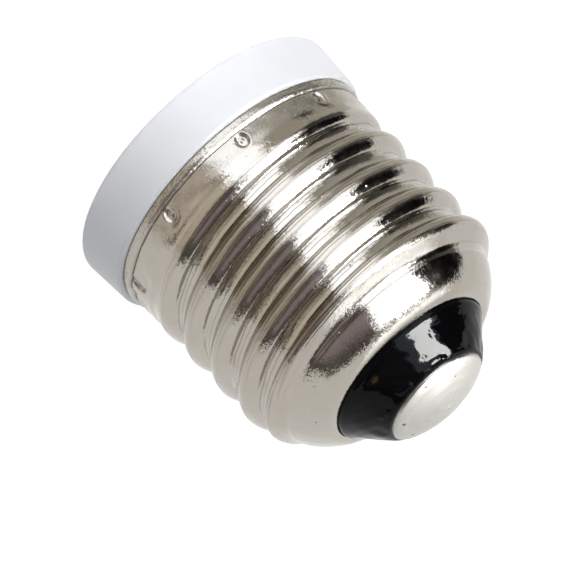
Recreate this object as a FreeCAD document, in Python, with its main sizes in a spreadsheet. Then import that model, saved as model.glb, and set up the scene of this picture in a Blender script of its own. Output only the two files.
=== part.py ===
import FreeCAD, Part
import Sketcher
import math
import os
import re

from FreeCAD import Placement, Rotation, Vector

# Lamp socket adapter: a lamp cap with an E27 screw thread outside and an E14 socket inside.
# +Z runs from the mouth of the socket to the end contact, and +X to the right of the photograph's camera.
# The origin is the centre of the collar's mouth face, which the adapter stands on. Sizes are millimetres.

doc = FreeCAD.newDocument("lamp_socket_adapter")

# Driving dimensions

sizes = doc.addObject("Spreadsheet::Sheet", "Sizes")

DIMENSIONS = [
    # moulded collar at the mouth
    ("collar_radius", 13.9, "largest radius, near the mouth face"),
    ("collar_top_radius", 13.65, "radius where the taper ends below the shell's rim"),
    ("collar_height", 5.0, "from the mouth face to the face that carries the shell's rim"),
    ("collar_round", 0.45, "rounding of the collar's outer edges"),
    # screw shell, outside
    ("shell_sheet", 0.25, "thickness of the rolled brass sheet"),
    ("rim_radius", 13.18, "swaged band at the shell's rim"),
    ("rim_band", 1.0, "height of the swaged band"),
    ("skirt_radius", 12.95, "plain skirt above the band"),
    ("skirt_joggle", 0.3, "height of the step from the band to the skirt"),
    ("skirt_height", 3.2, "skirt and spigot above the collar, up to the start of the thread"),
    ("screw_pitch", 3.629, "seven threads to the inch"),
    ("crest_radius", 13.05, "outside of the rolled thread"),
    ("root_radius", 12.2, "bottom of the rolled thread, outside"),
    ("run_in", 2.1, "height over which the thread reaches full depth"),
    ("crest_phase", 9.5255, "height of a crest in the +X direction"),
    ("shoulder_gap", 2.7, "from the top of the barrel to where the rolled thread has run out"),
    ("shoulder_run", 1.8, "height over which the crests fall in"),
    ("shoulder_arc", 6.9, "radius of the shoulder's round"),
    ("shoulder_centre_radius", 5.37, "centre of that round, from the axis"),
    ("shoulder_centre_drop", 3.43, "centre of that round, below the end of the thread"),
    ("lip_start_radius", 9.3, "where the shoulder turns into the lip"),
    ("lip_roll", 1.83, "radius of the rolled lip"),
    ("lip_radius", 8.1, "opening that the glass comes out of"),
    # stake marks that lock the skirt on the collar's spigot
    ("stake_count", 9, "marks around the skirt"),
    ("stake_first", 16, "degrees from +X to the first mark"),
    ("stake_rise", 1.8, "centre of the marks above the collar"),
    ("punch_radius", 0.9, "ball end of the punch"),
    ("stake_depth", 0.3, "depth of a mark"),
    # black glass insulator
    ("glass_top_radius", 5.32, "edge of the flat under the contact"),
    ("glass_cone_radius", 7.7, "foot of the open cone"),
    ("glass_reveal", 0.64, "from the lip to the cone's foot"),
    ("glass_cone_rise", 2.8, "from the cone's foot to the seat of the contact"),
    ("glass_skirt", 0.1, "underside of the glass below the end of the thread"),
    ("glass_funnel_radius", 7.0, "funnel in the underside"),
    ("glass_ledge_radius", 2.8, "top of the funnel"),
    ("glass_web", 3.0, "glass between the contact's seat and the clenched end of its stem"),
    ("glass_clearance", 0.05, "between glass and sheet"),
    # end contact
    ("contact_radius", 5.0, "rim of the domed contact"),
    ("contact_rim", 0.25, "height of the rim above the glass"),
    ("contact_dome", 9.93, "radius of the dome"),
    ("contact_sheet", 0.4, "thickness of the dome"),
    ("eyelet_radius", 1.5, "stem of the contact"),
    ("eyelet_bore", 1.0, "hole for the lead in the stem"),
    ("eyelet_flange", 2.4, "clenched end of the stem"),
    ("eyelet_flange_height", 0.3, "thickness of the clenched end"),
    ("solder_rise", 0.5, "underside of the solder that closes the stem, above the glass"),
    # moulded housing inside the shell
    ("spigot_radius", 12.65, "spigot inside the skirt"),
    ("stake_groove_radius", 12.3, "groove that the stake marks press into"),
    ("stake_groove_height", 1.7, "height of that groove"),
    ("core_radius", 11.2, "outside of the moulding's cored ring"),
    ("core_floor", 2.2, "bottom of the cored ring"),
    ("barrel_radius", 9.4, "outside of the barrel"),
    ("barrel_height", 22.3, "top of the barrel's floor"),
    ("rib_count", 6, "ribs that centre the shell"),
    ("rib_reach", 11.7, "outer edge of the ribs"),
    ("rib_thickness", 1.2, "thickness of a rib"),
    ("rib_drop", 0.9, "top of the ribs below the top of the barrel"),
    ("bore_radius", 7.6, "bore for the inner screw shell"),
    ("mouth_radius", 8.4, "recess for the inner shell's flange"),
    ("mouth_depth", 1.9, "depth of that recess"),
    ("mouth_chamfer", 0.6, "chamfer at the mouth"),
    ("floor_thickness", 1.8, "barrel's floor"),
    ("boss_radius", 3.9, "boss that insulates the centre contact"),
    ("boss_drop", 1.0, "seat of the contact spring below the floor"),
    ("notch_width", 1.3, "notch in the spigot for the side lead"),
    ("notch_rise", 0.3, "lower end of the notch above the collar"),
    # inner screw shell
    ("inner_sheet", 0.3, "thickness of the inner shell"),
    ("inner_pitch", 2.822, "nine threads to the inch"),
    ("inner_major_radius", 7.02, "inside of the thread at its grooves"),
    ("inner_minor_radius", 6.22, "inside of the thread at its ridges"),
    ("inner_thread_start", 3.3, "where the thread starts to rise"),
    ("inner_thread_stop", 2.5, "from where the thread has run out to the floor"),
    ("inner_run", 1.4, "height over which it reaches full depth"),
    ("inner_phase", 4.7, "height of a groove in the +X direction"),
    ("inner_bend", 0.5, "round into the flange, and bevel into the floor"),
    ("inner_flange_radius", 8.2, "flange at the mouth"),
    ("inner_floor_hole", 4.3, "hole in the floor around the boss"),
    # centre contact spring
    ("leaf_width", 3.0, "width of the spring"),
    ("leaf_sheet", 0.3, "thickness of the spring"),
    ("leaf_reach", 3.3, "outside of the bend, from the axis"),
    ("leaf_heel", 1.9, "free end of the foot, from the axis"),
    ("leaf_rise", 2.1, "from the foot's seat to the tongue's outer face at the bend"),
    ("leaf_slope", 0.4, "further rise of the tongue to the axis"),
    ("leaf_tip", 1.8, "end of the tongue past the axis"),
    ("leaf_tip_drop", 0.5, "turned-down tip"),
    # rivets and tag
    ("centre_shank", 0.85, "shank of the centre rivet"),
    ("centre_head", 1.35, "heads of the centre rivet"),
    ("centre_head_height", 0.4, "height of those heads"),
    ("head_dome", 3.2, "radius of the rivets' domed heads"),
    ("tag_radius", 1.9, "eye of the solder tag"),
    ("tag_sheet", 0.4, "thickness of the tag"),
    ("tag_length", 4.3, "end of the tag's tail, from the axis"),
    ("tag_width", 1.8, "width of the tail"),
    ("rivet_circle", 5.7, "shell rivets, from the axis"),
    ("rivet_shank", 0.7, "shank of the shell rivets"),
    ("rivet_head", 1.15, "heads of the shell rivets"),
    ("rivet_head_height", 0.45, "height of those heads"),
    # leads
    ("lead_angle", 350, "degrees from +X to the side lead"),
    ("side_wire", 0.35, "radius of the side lead"),
    ("side_lift", 0.2, "side lead above the barrel's floor, so that it clears the edge"),
    ("side_gap", 0.55, "between the barrel and the side lead's run down it"),
    ("side_turn", 0.7, "where it turns out to the skirt, above the spigot"),
    ("side_enter", 1.0, "where it lies along the skirt, below the top of the spigot"),
    ("side_end", 0.2, "lower end of the side lead above the notch's end"),
    ("centre_wire", 0.4, "radius of the centre lead"),
    ("centre_lead_turn", 2.5, "where the centre lead meets the axis, below the stem"),
    ("centre_lead_start", 3.4, "start of the centre lead on the tag, from the axis"),
    # fits
    ("hole_clearance", 0.05, "around a shank or stem in its hole"),
    ("seam_step", 0.04, "between a rolled sleeve and the plain ring it runs into"),
]

for row, (alias, number, meaning) in enumerate(DIMENSIONS, start=1):
    sizes.set(f"A{row}", alias)
    sizes.set(f"B{row}", str(number))
    sizes.set(f"C{row}", meaning)
    sizes.setAlias(f"B{row}", alias)
doc.recompute()

ALIAS = re.compile(r"\b(" + "|".join(alias for alias, _, _ in DIMENSIONS) + r")\b")


def value(expression):
    """Number that an expression of the sheet's names gives."""
    return float(sizes.evalExpression(expression))


def bind(target, path, expression):
    """Ties a property or constraint to the sheet, and returns its number."""
    target.setExpression(path, ALIAS.sub(r"Sizes.\1", expression))
    return value(expression)


def polar(radius, angle):
    """Expressions for x and y at a radius and an angle in degrees."""
    return f"({radius}) * cos(({angle}) * 1deg)", f"({radius}) * sin(({angle}) * 1deg)"


# Heights of the faces that several pieces share

SKIRT_TOP = "(collar_height + skirt_height)"
STAKE_LEVEL = "(collar_height + stake_rise)"
NOTCH_FLOOR = "(collar_height + notch_rise)"
RIB_TOP = "(barrel_height - rib_drop)"
HOUSING_FLOOR = "(barrel_height - floor_thickness)"
BOSS_FACE = f"({HOUSING_FLOOR} - boss_drop)"
INNER_THREAD_END = f"({HOUSING_FLOOR} - inner_thread_stop)"
SHOULDER_FOOT = "(barrel_height + shoulder_gap)"
SHOULDER_START = f"({SHOULDER_FOOT} - shoulder_run)"
SHOULDER_CENTRE = f"({SHOULDER_FOOT} - shoulder_centre_drop)"


# Sketches and bodies


def new_body(name):
    body = doc.addObject("PartDesign::Body", name)
    body.Label = name
    return body


def new_sketch(body, name, plane="XZ_Plane", height="0", turn="0"):
    """Sketch on one of the body's planes, lifted by height and turned about Z by an angle in degrees."""
    support = next(item for item in body.Origin.OriginFeatures if item.Role == plane)
    sketch = body.newObject("Sketcher::SketchObject", name)
    sketch.AttachmentSupport = [(support, "")]
    sketch.MapMode = "FlatFace"
    lift = Vector(0, 0, value(height))
    sketch.AttachmentOffset = Placement(lift, Rotation(Vector(0, 0, 1), value(turn)))
    if height != "0":
        bind(sketch, ".AttachmentOffset.Base.z", height)
    if turn != "0":
        bind(sketch, ".AttachmentOffset.Rotation.Angle", f"({turn}) * 1deg")
    return sketch


def pin(sketch, edge, end, across, up, name):
    """Fixes one end of an edge, or a circle's centre, at two expressions."""
    for axis, kind, expression in ((-2, "DistanceX", across), (-1, "DistanceY", up)):
        if expression == "0":
            sketch.addConstraint(Sketcher.Constraint("PointOnObject", edge, end, axis))
            continue
        index = sketch.addConstraint(Sketcher.Constraint(kind, -1, 1, edge, end, value(expression)))
        label = f"{name}_{kind[-1].lower()}"
        sketch.renameConstraint(index, label)
        bind(sketch, f"Constraints.{label}", expression)


def arc_between(start, end, radius):
    """Short arc between two points: it turns left for a positive radius and right for a negative one."""
    chord = end - start
    reach = math.sqrt(radius**2 - (chord.Length / 2) ** 2)
    side = Vector(-chord.y, chord.x, 0).normalize() * math.copysign(reach, radius)
    centre = (start + end) * 0.5 + side
    first, last = (start, end) if radius > 0 else (end, start)
    angles = [math.atan2(point.y - centre.y, point.x - centre.x) for point in (first, last)]
    return Part.ArcOfCircle(Part.Circle(centre, Vector(0, 0, 1), abs(radius)), *angles)


def draw(sketch, outline):
    """Closed outline. Each corner is (across, up) or (across, up, radius of the arc to the next corner)."""
    corners = [Vector(value(corner[0]), value(corner[1]), 0) for corner in outline]
    starts = []
    ends = []
    for place, corner in enumerate(outline):
        here = corners[place]
        there = corners[(place + 1) % len(corners)]
        if len(corner) == 2:
            edge = sketch.addGeometry(Part.LineSegment(here, there))
            starts.append((edge, 1))
            ends.append((edge, 2))
            continue
        radius = value(corner[2])
        edge = sketch.addGeometry(arc_between(here, there, radius))
        starts.append((edge, 1 if radius > 0 else 2))
        ends.append((edge, 2 if radius > 0 else 1))
        index = sketch.addConstraint(Sketcher.Constraint("Radius", edge, abs(radius)))
        sketch.renameConstraint(index, f"arc{place}")
        bind(sketch, f"Constraints.arc{place}", f"abs({corner[2]})")
    for place, corner in enumerate(outline):
        sketch.addConstraint(Sketcher.Constraint("Coincident", *ends[place - 1], *starts[place]))
        pin(sketch, *starts[place], corner[0], corner[1], f"corner{place}")


def draw_circle(sketch, name, across, up, radius):
    centre = Vector(value(across), value(up), 0)
    edge = sketch.addGeometry(Part.Circle(centre, Vector(0, 0, 1), value(radius)))
    index = sketch.addConstraint(Sketcher.Constraint("Radius", edge, value(radius)))
    sketch.renameConstraint(index, f"{name}_radius")
    bind(sketch, f"Constraints.{name}_radius", radius)
    pin(sketch, edge, 3, across, up, name)


def turned(body, outline):
    """Turns an outline of radii and heights about Z."""
    sketch = new_sketch(body, f"{body.Label}_outline")
    draw(sketch, outline)
    turning = body.newObject("PartDesign::Revolution", f"{body.Label}_turning")
    turning.Profile = sketch
    turning.ReferenceAxis = (sketch, ["V_Axis"])
    turning.Angle = 360
    sketch.Visibility = False
    return turning


def pad(body, sketch, name, length, both_ways=False):
    feature = body.newObject("PartDesign::Pad", name)
    feature.Profile = sketch
    bind(feature, "Length", length)
    feature.SideType = "Symmetric" if both_ways else "One side"
    return feature


def pocket(body, sketch, name, length):
    """Cuts down from the sketch, and stops if nothing was cut."""
    doc.recompute()
    before = body.Shape.Volume
    feature = body.newObject("PartDesign::Pocket", name)
    feature.Profile = sketch
    bind(feature, "Length", length)
    doc.recompute()
    if not body.Shape.Volume < before:
        raise ValueError(f"{name} cuts nothing")
    return feature


# Rolled screw threads
#
# A rolled thread is one sheet pressed into a helical wave. Each side of the sheet is a run of
# narrow faces between neighbouring helices, so the wall keeps its thickness through the wave.


def eased(share):
    """Soft step from 0 to 1."""
    share = min(max(share, 0.0), 1.0)
    return share * share * (3 - 2 * share)


def wave(count):
    """Helices over one pitch: (share of the pitch past the ridge, share of the full depth)."""
    flat = math.cos(math.pi / count)
    shares = [(step + 0.5) / count for step in range(count)]
    return [(share, (flat - math.cos(2 * math.pi * share)) / (2 * flat)) for share in shares]


def trapezoid():
    """Coarser wave for the side that never shows."""
    ridge = 1 / 12
    return [(ridge, 0.0), (0.5 - ridge, 1.0), (0.5 + ridge, 1.0), (1 - ridge, 0.0)]


POINTS_PER_TURN = 24
SEWING = 1e-5


def rolled_sleeve(pitch, phase, low, high, ridge, depth, sheet, outside, inside):
    """Threaded sheet between two flat ends.

    ridge and depth give the outside radius of the ridges and the depth of the groove at a height.
    """
    first = math.floor((low - phase) / pitch) - 2
    turns = math.ceil((high - phase) / pitch) + 1 - first

    def helix(turn, line, inset):
        share, sunk = line
        points = []
        for step in range(POINTS_PER_TURN + 1):
            height = phase + pitch * (first + turn + step / POINTS_PER_TURN + share)
            level = min(max(height, low), high)
            radius = ridge(level) - depth(level) * sunk - inset
            angle = 2 * math.pi * step / POINTS_PER_TURN
            points.append(Vector(radius * math.cos(angle), radius * math.sin(angle), height))
        curve = Part.BSplineCurve()
        steps = [step / POINTS_PER_TURN for step in range(POINTS_PER_TURN + 1)]
        curve.interpolate(Points=points, Parameters=steps)
        return curve.toShape()

    outer = [helix(turn, line, 0) for turn in range(turns) for line in outside]
    inner = [helix(turn, line, sheet) for turn in range(turns) for line in inside]
    faces = [Part.makeRuledSurface(*pair) for pair in zip(outer, outer[1:])]
    faces += [Part.makeRuledSurface(*pair) for pair in zip(inner, inner[1:])]
    faces.append(Part.makeRuledSurface(outer[0], inner[0]))
    faces.append(Part.makeRuledSurface(outer[-1], inner[-1]))
    for end in (0, 1):
        faces.append(helix_step(outer, inner, len(outside), len(inside), end))
    skin = Part.makeCompound(faces)
    skin.sewShape(SEWING)
    slab = Part.makeCylinder(2 * ridge(low), high - low, Vector(0, 0, low))
    return Part.Solid(skin.Shells[0]).common(slab)


def helix_step(outer, inner, outer_count, inner_count, end):
    """Flat face that closes the sheet over one pitch, at its first or last helix."""
    near = slice(0, outer_count + 1) if end == 0 else slice(-outer_count - 1, None)
    far = slice(0, inner_count + 1) if end == 0 else slice(-inner_count - 1, None)
    out = [edge.Vertexes[end].Point for edge in outer[near]]
    back = [edge.Vertexes[end].Point for edge in inner[far]]
    return Part.Face(Part.makePolygon(out + back[::-1] + out[:1]))


# Outer screw shell: threaded sleeve, shoulder with rolled lip, and skirt with stake marks


def on_shoulder(radius, inset):
    """Height of the shoulder's round at a radius, inset below the outside."""
    return (
        f"{SHOULDER_CENTRE}"
        f" + sqrt((shoulder_arc - ({inset}))^2 - (({radius}) - shoulder_centre_radius)^2)"
    )


def shoulder_foot(inset):
    """Radius of the shoulder's round where the rolled thread has run out."""
    return (
        f"shoulder_centre_radius"
        f" + sqrt((shoulder_arc - ({inset}))^2 - ({SHOULDER_FOOT} - {SHOULDER_CENTRE})^2)"
    )


def lip_joint(inset):
    """Radius where the shoulder's round meets the lip's."""
    return (
        f"shoulder_centre_radius + (lip_start_radius - shoulder_centre_radius)"
        f" * (shoulder_arc - ({inset})) / shoulder_arc"
    )


def lip_top(inset):
    """Height of the lip's round at the opening."""
    lean = "(lip_start_radius - shoulder_centre_radius) / shoulder_arc"
    centre_radius = f"(lip_start_radius - lip_roll * {lean})"
    centre_height = f"({SHOULDER_CENTRE} + (shoulder_arc - lip_roll) * sqrt(1 - ({lean})^2))"
    return f"{centre_height} + sqrt((lip_roll - ({inset}))^2 - (lip_radius - {centre_radius})^2)"


# Heights of the glass and of what it carries follow the lip.
GLASS_FOOT = f"({SHOULDER_FOOT} - glass_skirt)"
GLASS_CONE_FOOT = f"({lip_top('0')} + glass_reveal)"
GLASS_TOP = f"({GLASS_CONE_FOOT} + glass_cone_rise)"
GLASS_LEDGE = f"({GLASS_TOP} - glass_web)"
SOLDER_FACE = f"({GLASS_TOP} + solder_rise)"


def outer_sleeve():
    low = value(SKIRT_TOP)
    high = value(SHOULDER_FOOT)
    seam = value("seam_step")
    skirt = value("skirt_radius") + seam
    crest = value("crest_radius")
    foot = value(shoulder_foot("0")) + seam
    full = value("crest_radius - root_radius")
    run = value("run_in")
    fall = value(SHOULDER_START)

    def ridge(level):
        rise = eased((level - low) / run)
        drop = eased((level - fall) / (high - fall))
        return skirt + (crest - skirt) * rise - (crest - foot) * drop

    def depth(level):
        return full * eased((level - low) / run) * (1 - eased((level - fall) / (high - fall)))

    feature = doc.addObject("Part::Feature", "outer_sleeve")
    feature.Shape = rolled_sleeve(
        value("screw_pitch"),
        value("crest_phase"),
        low,
        high,
        ridge,
        depth,
        value("shell_sheet"),
        wave(8),
        trapezoid(),
    )
    return feature


def ball(name, radius, x, y, z):
    sphere = doc.addObject("Part::Sphere", name)
    sphere.Radius = bind(sphere, "Radius", radius)
    sphere.Placement = Placement(Vector(value(x), value(y), value(z)), Rotation())
    for axis, place in (("x", x), ("y", y), ("z", z)):
        bind(sphere, f"Placement.Base.{axis}", place)
    return sphere


def boolean(kind, name, base, tool):
    feature = doc.addObject(f"Part::{kind}", name)
    feature.Base = base
    feature.Tool = tool
    return feature


def fuse(name, pieces):
    feature = doc.addObject("Part::MultiFuse", name)
    feature.Shapes = pieces
    return feature


def make_outer_screw_shell():
    shoulder = new_body("shoulder")
    turned(
        shoulder,
        [
            (shoulder_foot("0"), SHOULDER_FOOT, "shoulder_arc"),
            ("lip_start_radius", on_shoulder("lip_start_radius", "0"), "lip_roll"),
            ("lip_radius", lip_top("0")),
            ("lip_radius", lip_top("shell_sheet"), "shell_sheet - lip_roll"),
            (
                lip_joint("shell_sheet"),
                on_shoulder(lip_joint("shell_sheet"), "shell_sheet"),
                "shell_sheet - shoulder_arc",
            ),
            (shoulder_foot("shell_sheet"), SHOULDER_FOOT),
        ],
    )
    skirt = new_body("skirt")
    band_top = "collar_height + rim_band"
    turned(
        skirt,
        [
            ("rim_radius - shell_sheet", "collar_height"),
            ("rim_radius", "collar_height"),
            ("rim_radius", f"{band_top} - skirt_joggle"),
            ("skirt_radius", band_top),
            ("skirt_radius", SKIRT_TOP),
            ("skirt_radius - shell_sheet", SKIRT_TOP),
            ("skirt_radius - shell_sheet", f"{band_top} - skirt_joggle / 2"),
            ("rim_radius - shell_sheet", f"{band_top} - skirt_joggle * 1.5"),
        ],
    )
    dents = []
    bulges = []
    reach = "skirt_radius + punch_radius - stake_depth"
    for mark in range(round(value("stake_count"))):
        x, y = polar(reach, f"stake_first + 360 * {mark} / stake_count")
        dents.append(ball(f"dent_{mark}", "punch_radius", x, y, STAKE_LEVEL))
        bulges.append(ball(f"bulge_{mark}", "punch_radius + shell_sheet", x, y, STAKE_LEVEL))
    within = doc.addObject("Part::Cylinder", "inside_of_skirt")
    bind(within, "Radius", "skirt_radius - shell_sheet / 2")
    bind(within, "Height", SKIRT_TOP)
    pressed = boolean("Common", "pressed_bulges", fuse("all_bulges", bulges), within)
    staked = fuse("staked_skirt", [skirt, pressed])
    marked = boolean("Cut", "marked_skirt", staked, fuse("all_dents", dents))
    shell = fuse("outer_screw_shell", [marked, outer_sleeve(), shoulder])
    shell.Label = "outer_screw_shell"
    return shell


# Black glass that fills the shoulder and carries the end contact


def make_glass_insulator():
    body = new_body("glass_insulator")
    gap = "(shell_sheet + glass_clearance)"
    hole = "eyelet_radius + hole_clearance"
    neck = "lip_radius - glass_clearance"
    turned(
        body,
        [
            (hole, GLASS_LEDGE),
            ("glass_ledge_radius", GLASS_LEDGE),
            ("glass_funnel_radius", GLASS_FOOT),
            (shoulder_foot(gap), GLASS_FOOT),
            (shoulder_foot(gap), SHOULDER_FOOT, f"shoulder_arc - {gap}"),
            (lip_joint(gap), on_shoulder(lip_joint(gap), gap), f"lip_roll - {gap}"),
            ("lip_radius", lip_top(gap)),
            (neck, lip_top(gap)),
            (neck, lip_top("0")),
            ("glass_cone_radius", GLASS_CONE_FOOT),
            ("glass_top_radius", GLASS_TOP),
            (hole, GLASS_TOP),
        ],
    )
    return body


# Domed contact with its eyelet through the glass, closed with solder


def make_end_contact():
    body = new_body("end_contact")
    rim = f"{GLASS_TOP} + contact_rim"
    dome_foot = "contact_dome - sqrt(contact_dome^2 - contact_radius^2)"
    centre = f"({rim} + {dome_foot} - contact_dome)"
    inner_radius = "contact_radius - contact_sheet"
    inside = f"{centre} + sqrt((contact_dome - contact_sheet)^2 - "
    flange_top = GLASS_LEDGE
    turned(
        body,
        [
            ("0", SOLDER_FACE),
            ("eyelet_bore", SOLDER_FACE),
            ("eyelet_bore", f"{flange_top} - eyelet_flange_height"),
            ("eyelet_flange", f"{flange_top} - eyelet_flange_height"),
            ("eyelet_flange", flange_top),
            ("eyelet_radius", flange_top),
            ("eyelet_radius", f"{inside}eyelet_radius^2)", "contact_sheet - contact_dome"),
            (inner_radius, f"{inside}({inner_radius})^2)"),
            (inner_radius, GLASS_TOP),
            ("contact_radius", GLASS_TOP),
            ("contact_radius", f"{centre} + sqrt(contact_dome^2 - contact_radius^2)", "contact_dome"),
            ("0", f"{centre} + contact_dome"),
        ],
    )
    return body


# White moulding: collar, staked spigot, cored ring, ribs, barrel and floor in one piece


def make_socket_housing():
    body = new_body("socket_housing")
    groove_low = f"{STAKE_LEVEL} - stake_groove_height / 2"
    groove_high = f"{STAKE_LEVEL} + stake_groove_height / 2"
    rivet_hole = "centre_shank + hole_clearance"
    turned(
        body,
        [
            ("mouth_radius + mouth_chamfer", "0"),
            ("collar_radius - collar_round", "0", "collar_round"),
            ("collar_radius", "collar_round"),
            ("collar_top_radius", "collar_height - collar_round", "collar_round"),
            ("collar_top_radius - collar_round", "collar_height"),
            ("spigot_radius", "collar_height"),
            ("spigot_radius", groove_low),
            ("stake_groove_radius", groove_low),
            ("stake_groove_radius", groove_high),
            ("spigot_radius", groove_high),
            ("spigot_radius", SKIRT_TOP),
            ("core_radius", SKIRT_TOP),
            ("core_radius", "core_floor"),
            ("barrel_radius", "core_floor"),
            ("barrel_radius", "barrel_height"),
            (rivet_hole, "barrel_height"),
            (rivet_hole, BOSS_FACE),
            ("boss_radius", BOSS_FACE),
            ("boss_radius", HOUSING_FLOOR),
            ("bore_radius", HOUSING_FLOOR),
            ("bore_radius", "mouth_depth"),
            ("mouth_radius", "mouth_depth"),
            ("mouth_radius", "mouth_chamfer"),
        ],
    )
    rib_sketch = new_sketch(body, "rib_outline")
    root = "barrel_radius - rib_thickness / 2"
    foot = "core_floor - rib_thickness / 2"
    draw(rib_sketch, [(root, foot), ("rib_reach", foot), ("rib_reach", RIB_TOP), (root, RIB_TOP)])
    rib = pad(body, rib_sketch, "rib", "rib_thickness", both_ways=True)
    ribs = body.newObject("PartDesign::PolarPattern", "ribs")
    ribs.Originals = [rib]
    ribs.Axis = (rib_sketch, ["V_Axis"])
    ribs.Angle = 360
    ribs.Occurrences = round(value("rib_count"))
    bind(ribs, "Occurrences", "rib_count")
    body.Tip = ribs
    notch_sketch = new_sketch(body, "notch_outline", "XY_Plane", SKIRT_TOP, "lead_angle")
    inside = "core_radius - notch_width / 2"
    outside = "spigot_radius + notch_width / 2"
    half = "notch_width / 2"
    draw(notch_sketch, [(inside, f"-{half}"), (outside, f"-{half}"), (outside, half), (inside, half)])
    pocket(body, notch_sketch, "lead_notch", f"{SKIRT_TOP} - {NOTCH_FLOOR}")
    holes = new_sketch(body, "rivet_holes", "XY_Plane", "barrel_height", "lead_angle")
    draw_circle(holes, "near", "rivet_circle", "0", "rivet_shank + hole_clearance")
    draw_circle(holes, "far", "-rivet_circle", "0", "rivet_shank + hole_clearance")
    pocket(body, holes, "rivet_hole_pair", f"(barrel_height - {HOUSING_FLOOR}) * 1.1")
    return body


# Inner screw shell: threaded cup with a flange at the mouth and a riveted floor


def inner_sleeve():
    low = value("inner_thread_start")
    high = value(INNER_THREAD_END)
    sheet = value("inner_sheet")
    outside = value("inner_major_radius + inner_sheet + seam_step")
    full = value("inner_major_radius - inner_minor_radius")
    run = value("inner_run")

    def ridge(level):
        return outside

    def depth(level):
        return full * eased((level - low) / run) * eased((high - level) / run)

    feature = doc.addObject("Part::Feature", "inner_sleeve")
    feature.Shape = rolled_sleeve(
        value("inner_pitch"),
        value("inner_phase"),
        low,
        high,
        ridge,
        depth,
        sheet,
        trapezoid(),
        wave(8),
    )
    return feature


def make_inner_screw_shell():
    wall_out = "inner_major_radius + inner_sheet"
    inner_bend = "(inner_bend - inner_sheet)"
    flange = new_body("inner_flange")
    flange_face = "mouth_depth - inner_sheet"
    turned(
        flange,
        [
            ("inner_major_radius", f"{flange_face} + inner_bend", "inner_bend"),
            ("inner_major_radius + inner_bend", flange_face),
            ("inner_flange_radius", flange_face),
            ("inner_flange_radius", "mouth_depth"),
            (f"{wall_out} + {inner_bend}", "mouth_depth"),
            (wall_out, f"mouth_depth + {inner_bend}"),
            (wall_out, "inner_thread_start"),
            ("inner_major_radius", "inner_thread_start"),
        ],
    )
    cup = new_body("inner_cup")
    floor_face = f"{HOUSING_FLOOR} - inner_sheet"
    turned(
        cup,
        [
            ("inner_major_radius", INNER_THREAD_END),
            (wall_out, INNER_THREAD_END),
            (wall_out, f"{HOUSING_FLOOR} - inner_bend"),
            (f"{wall_out} - inner_bend", HOUSING_FLOOR),
            ("inner_floor_hole", HOUSING_FLOOR),
            ("inner_floor_hole", floor_face),
            (f"inner_major_radius - {inner_bend}", floor_face),
            ("inner_major_radius", f"{floor_face} - {inner_bend}"),
        ],
    )
    holes = new_sketch(cup, "cup_rivet_holes", "XY_Plane", HOUSING_FLOOR, "lead_angle")
    draw_circle(holes, "near", "rivet_circle", "0", "rivet_shank + hole_clearance")
    draw_circle(holes, "far", "-rivet_circle", "0", "rivet_shank + hole_clearance")
    pocket(cup, holes, "cup_hole_pair", "inner_sheet * 2")
    shell = fuse("inner_screw_shell", [flange, inner_sleeve(), cup])
    shell.Label = "inner_screw_shell"
    return shell


# Bronze leaf: foot on the boss, bend, and tongue across the axis towards the mouth


def make_centre_contact_spring():
    body = new_body("centre_contact_spring")
    sketch = new_sketch(body, "leaf_outline")
    bend = "leaf_rise / 2"
    bend_across = f"leaf_reach - {bend}"
    bend_height = f"{BOSS_FACE} - {bend}"
    back = f"{bend} - leaf_sheet"
    tongue = f"{BOSS_FACE} - leaf_rise"
    crown = f"{BOSS_FACE} - leaf_rise - leaf_slope"
    end = f"{BOSS_FACE} - leaf_rise - leaf_slope + leaf_tip_drop"
    draw(
        sketch,
        [
            ("-leaf_heel", BOSS_FACE),
            (bend_across, BOSS_FACE, f"-({bend})"),
            ("leaf_reach", bend_height, f"-({bend})"),
            (bend_across, tongue),
            ("0", crown),
            ("-leaf_tip", end),
            ("-leaf_tip", f"{end} + leaf_sheet"),
            ("0", f"{crown} + leaf_sheet"),
            (bend_across, f"{tongue} + leaf_sheet", back),
            ("leaf_reach - leaf_sheet", bend_height, back),
            (bend_across, f"{BOSS_FACE} - leaf_sheet"),
            ("-leaf_heel", f"{BOSS_FACE} - leaf_sheet"),
        ],
    )
    pad(body, sketch, "leaf", "leaf_width", both_ways=True)
    hole = new_sketch(body, "leaf_hole", "XY_Plane", BOSS_FACE)
    draw_circle(hole, "shank", "0", "0", "centre_shank + hole_clearance")
    pocket(body, hole, "leaf_hole_cut", "leaf_sheet * 2")
    return body


# Rivets and solder tag


def make_rivet(name, low_seat, high_seat, shank, head, head_height):
    """Domed head at each end of a shank, on the Z axis."""
    body = new_body(name)
    sag = f"(head_dome - sqrt(head_dome^2 - {head}^2))"
    turned(
        body,
        [
            ("0", f"{low_seat} - {head_height}", "head_dome"),
            (head, f"{low_seat} - {head_height} + {sag}"),
            (head, low_seat),
            (shank, low_seat),
            (shank, high_seat),
            (head, high_seat),
            (head, f"{high_seat} + {head_height} - {sag}", "head_dome"),
            ("0", f"{high_seat} + {head_height}"),
        ],
    )
    return body


def make_centre_rivet():
    return make_rivet(
        "centre_rivet",
        f"{BOSS_FACE} - leaf_sheet",
        "barrel_height + tag_sheet",
        "centre_shank",
        "centre_head",
        "centre_head_height",
    )


def make_shell_rivets():
    pair = []
    for side, turn in (("near", "lead_angle"), ("far", "lead_angle + 180")):
        rivet = make_rivet(
            f"{side}_shell_rivet",
            f"{HOUSING_FLOOR} - inner_sheet",
            "barrel_height",
            "rivet_shank",
            "rivet_head",
            "rivet_head_height",
        )
        x, y = polar("rivet_circle", turn)
        bind(rivet, "Placement.Base.x", x)
        bind(rivet, "Placement.Base.y", y)
        pair.append(rivet)
    rivets = doc.addObject("Part::Compound", "shell_rivets")
    rivets.Links = pair
    rivets.Label = "shell_rivets"
    return rivets


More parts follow.
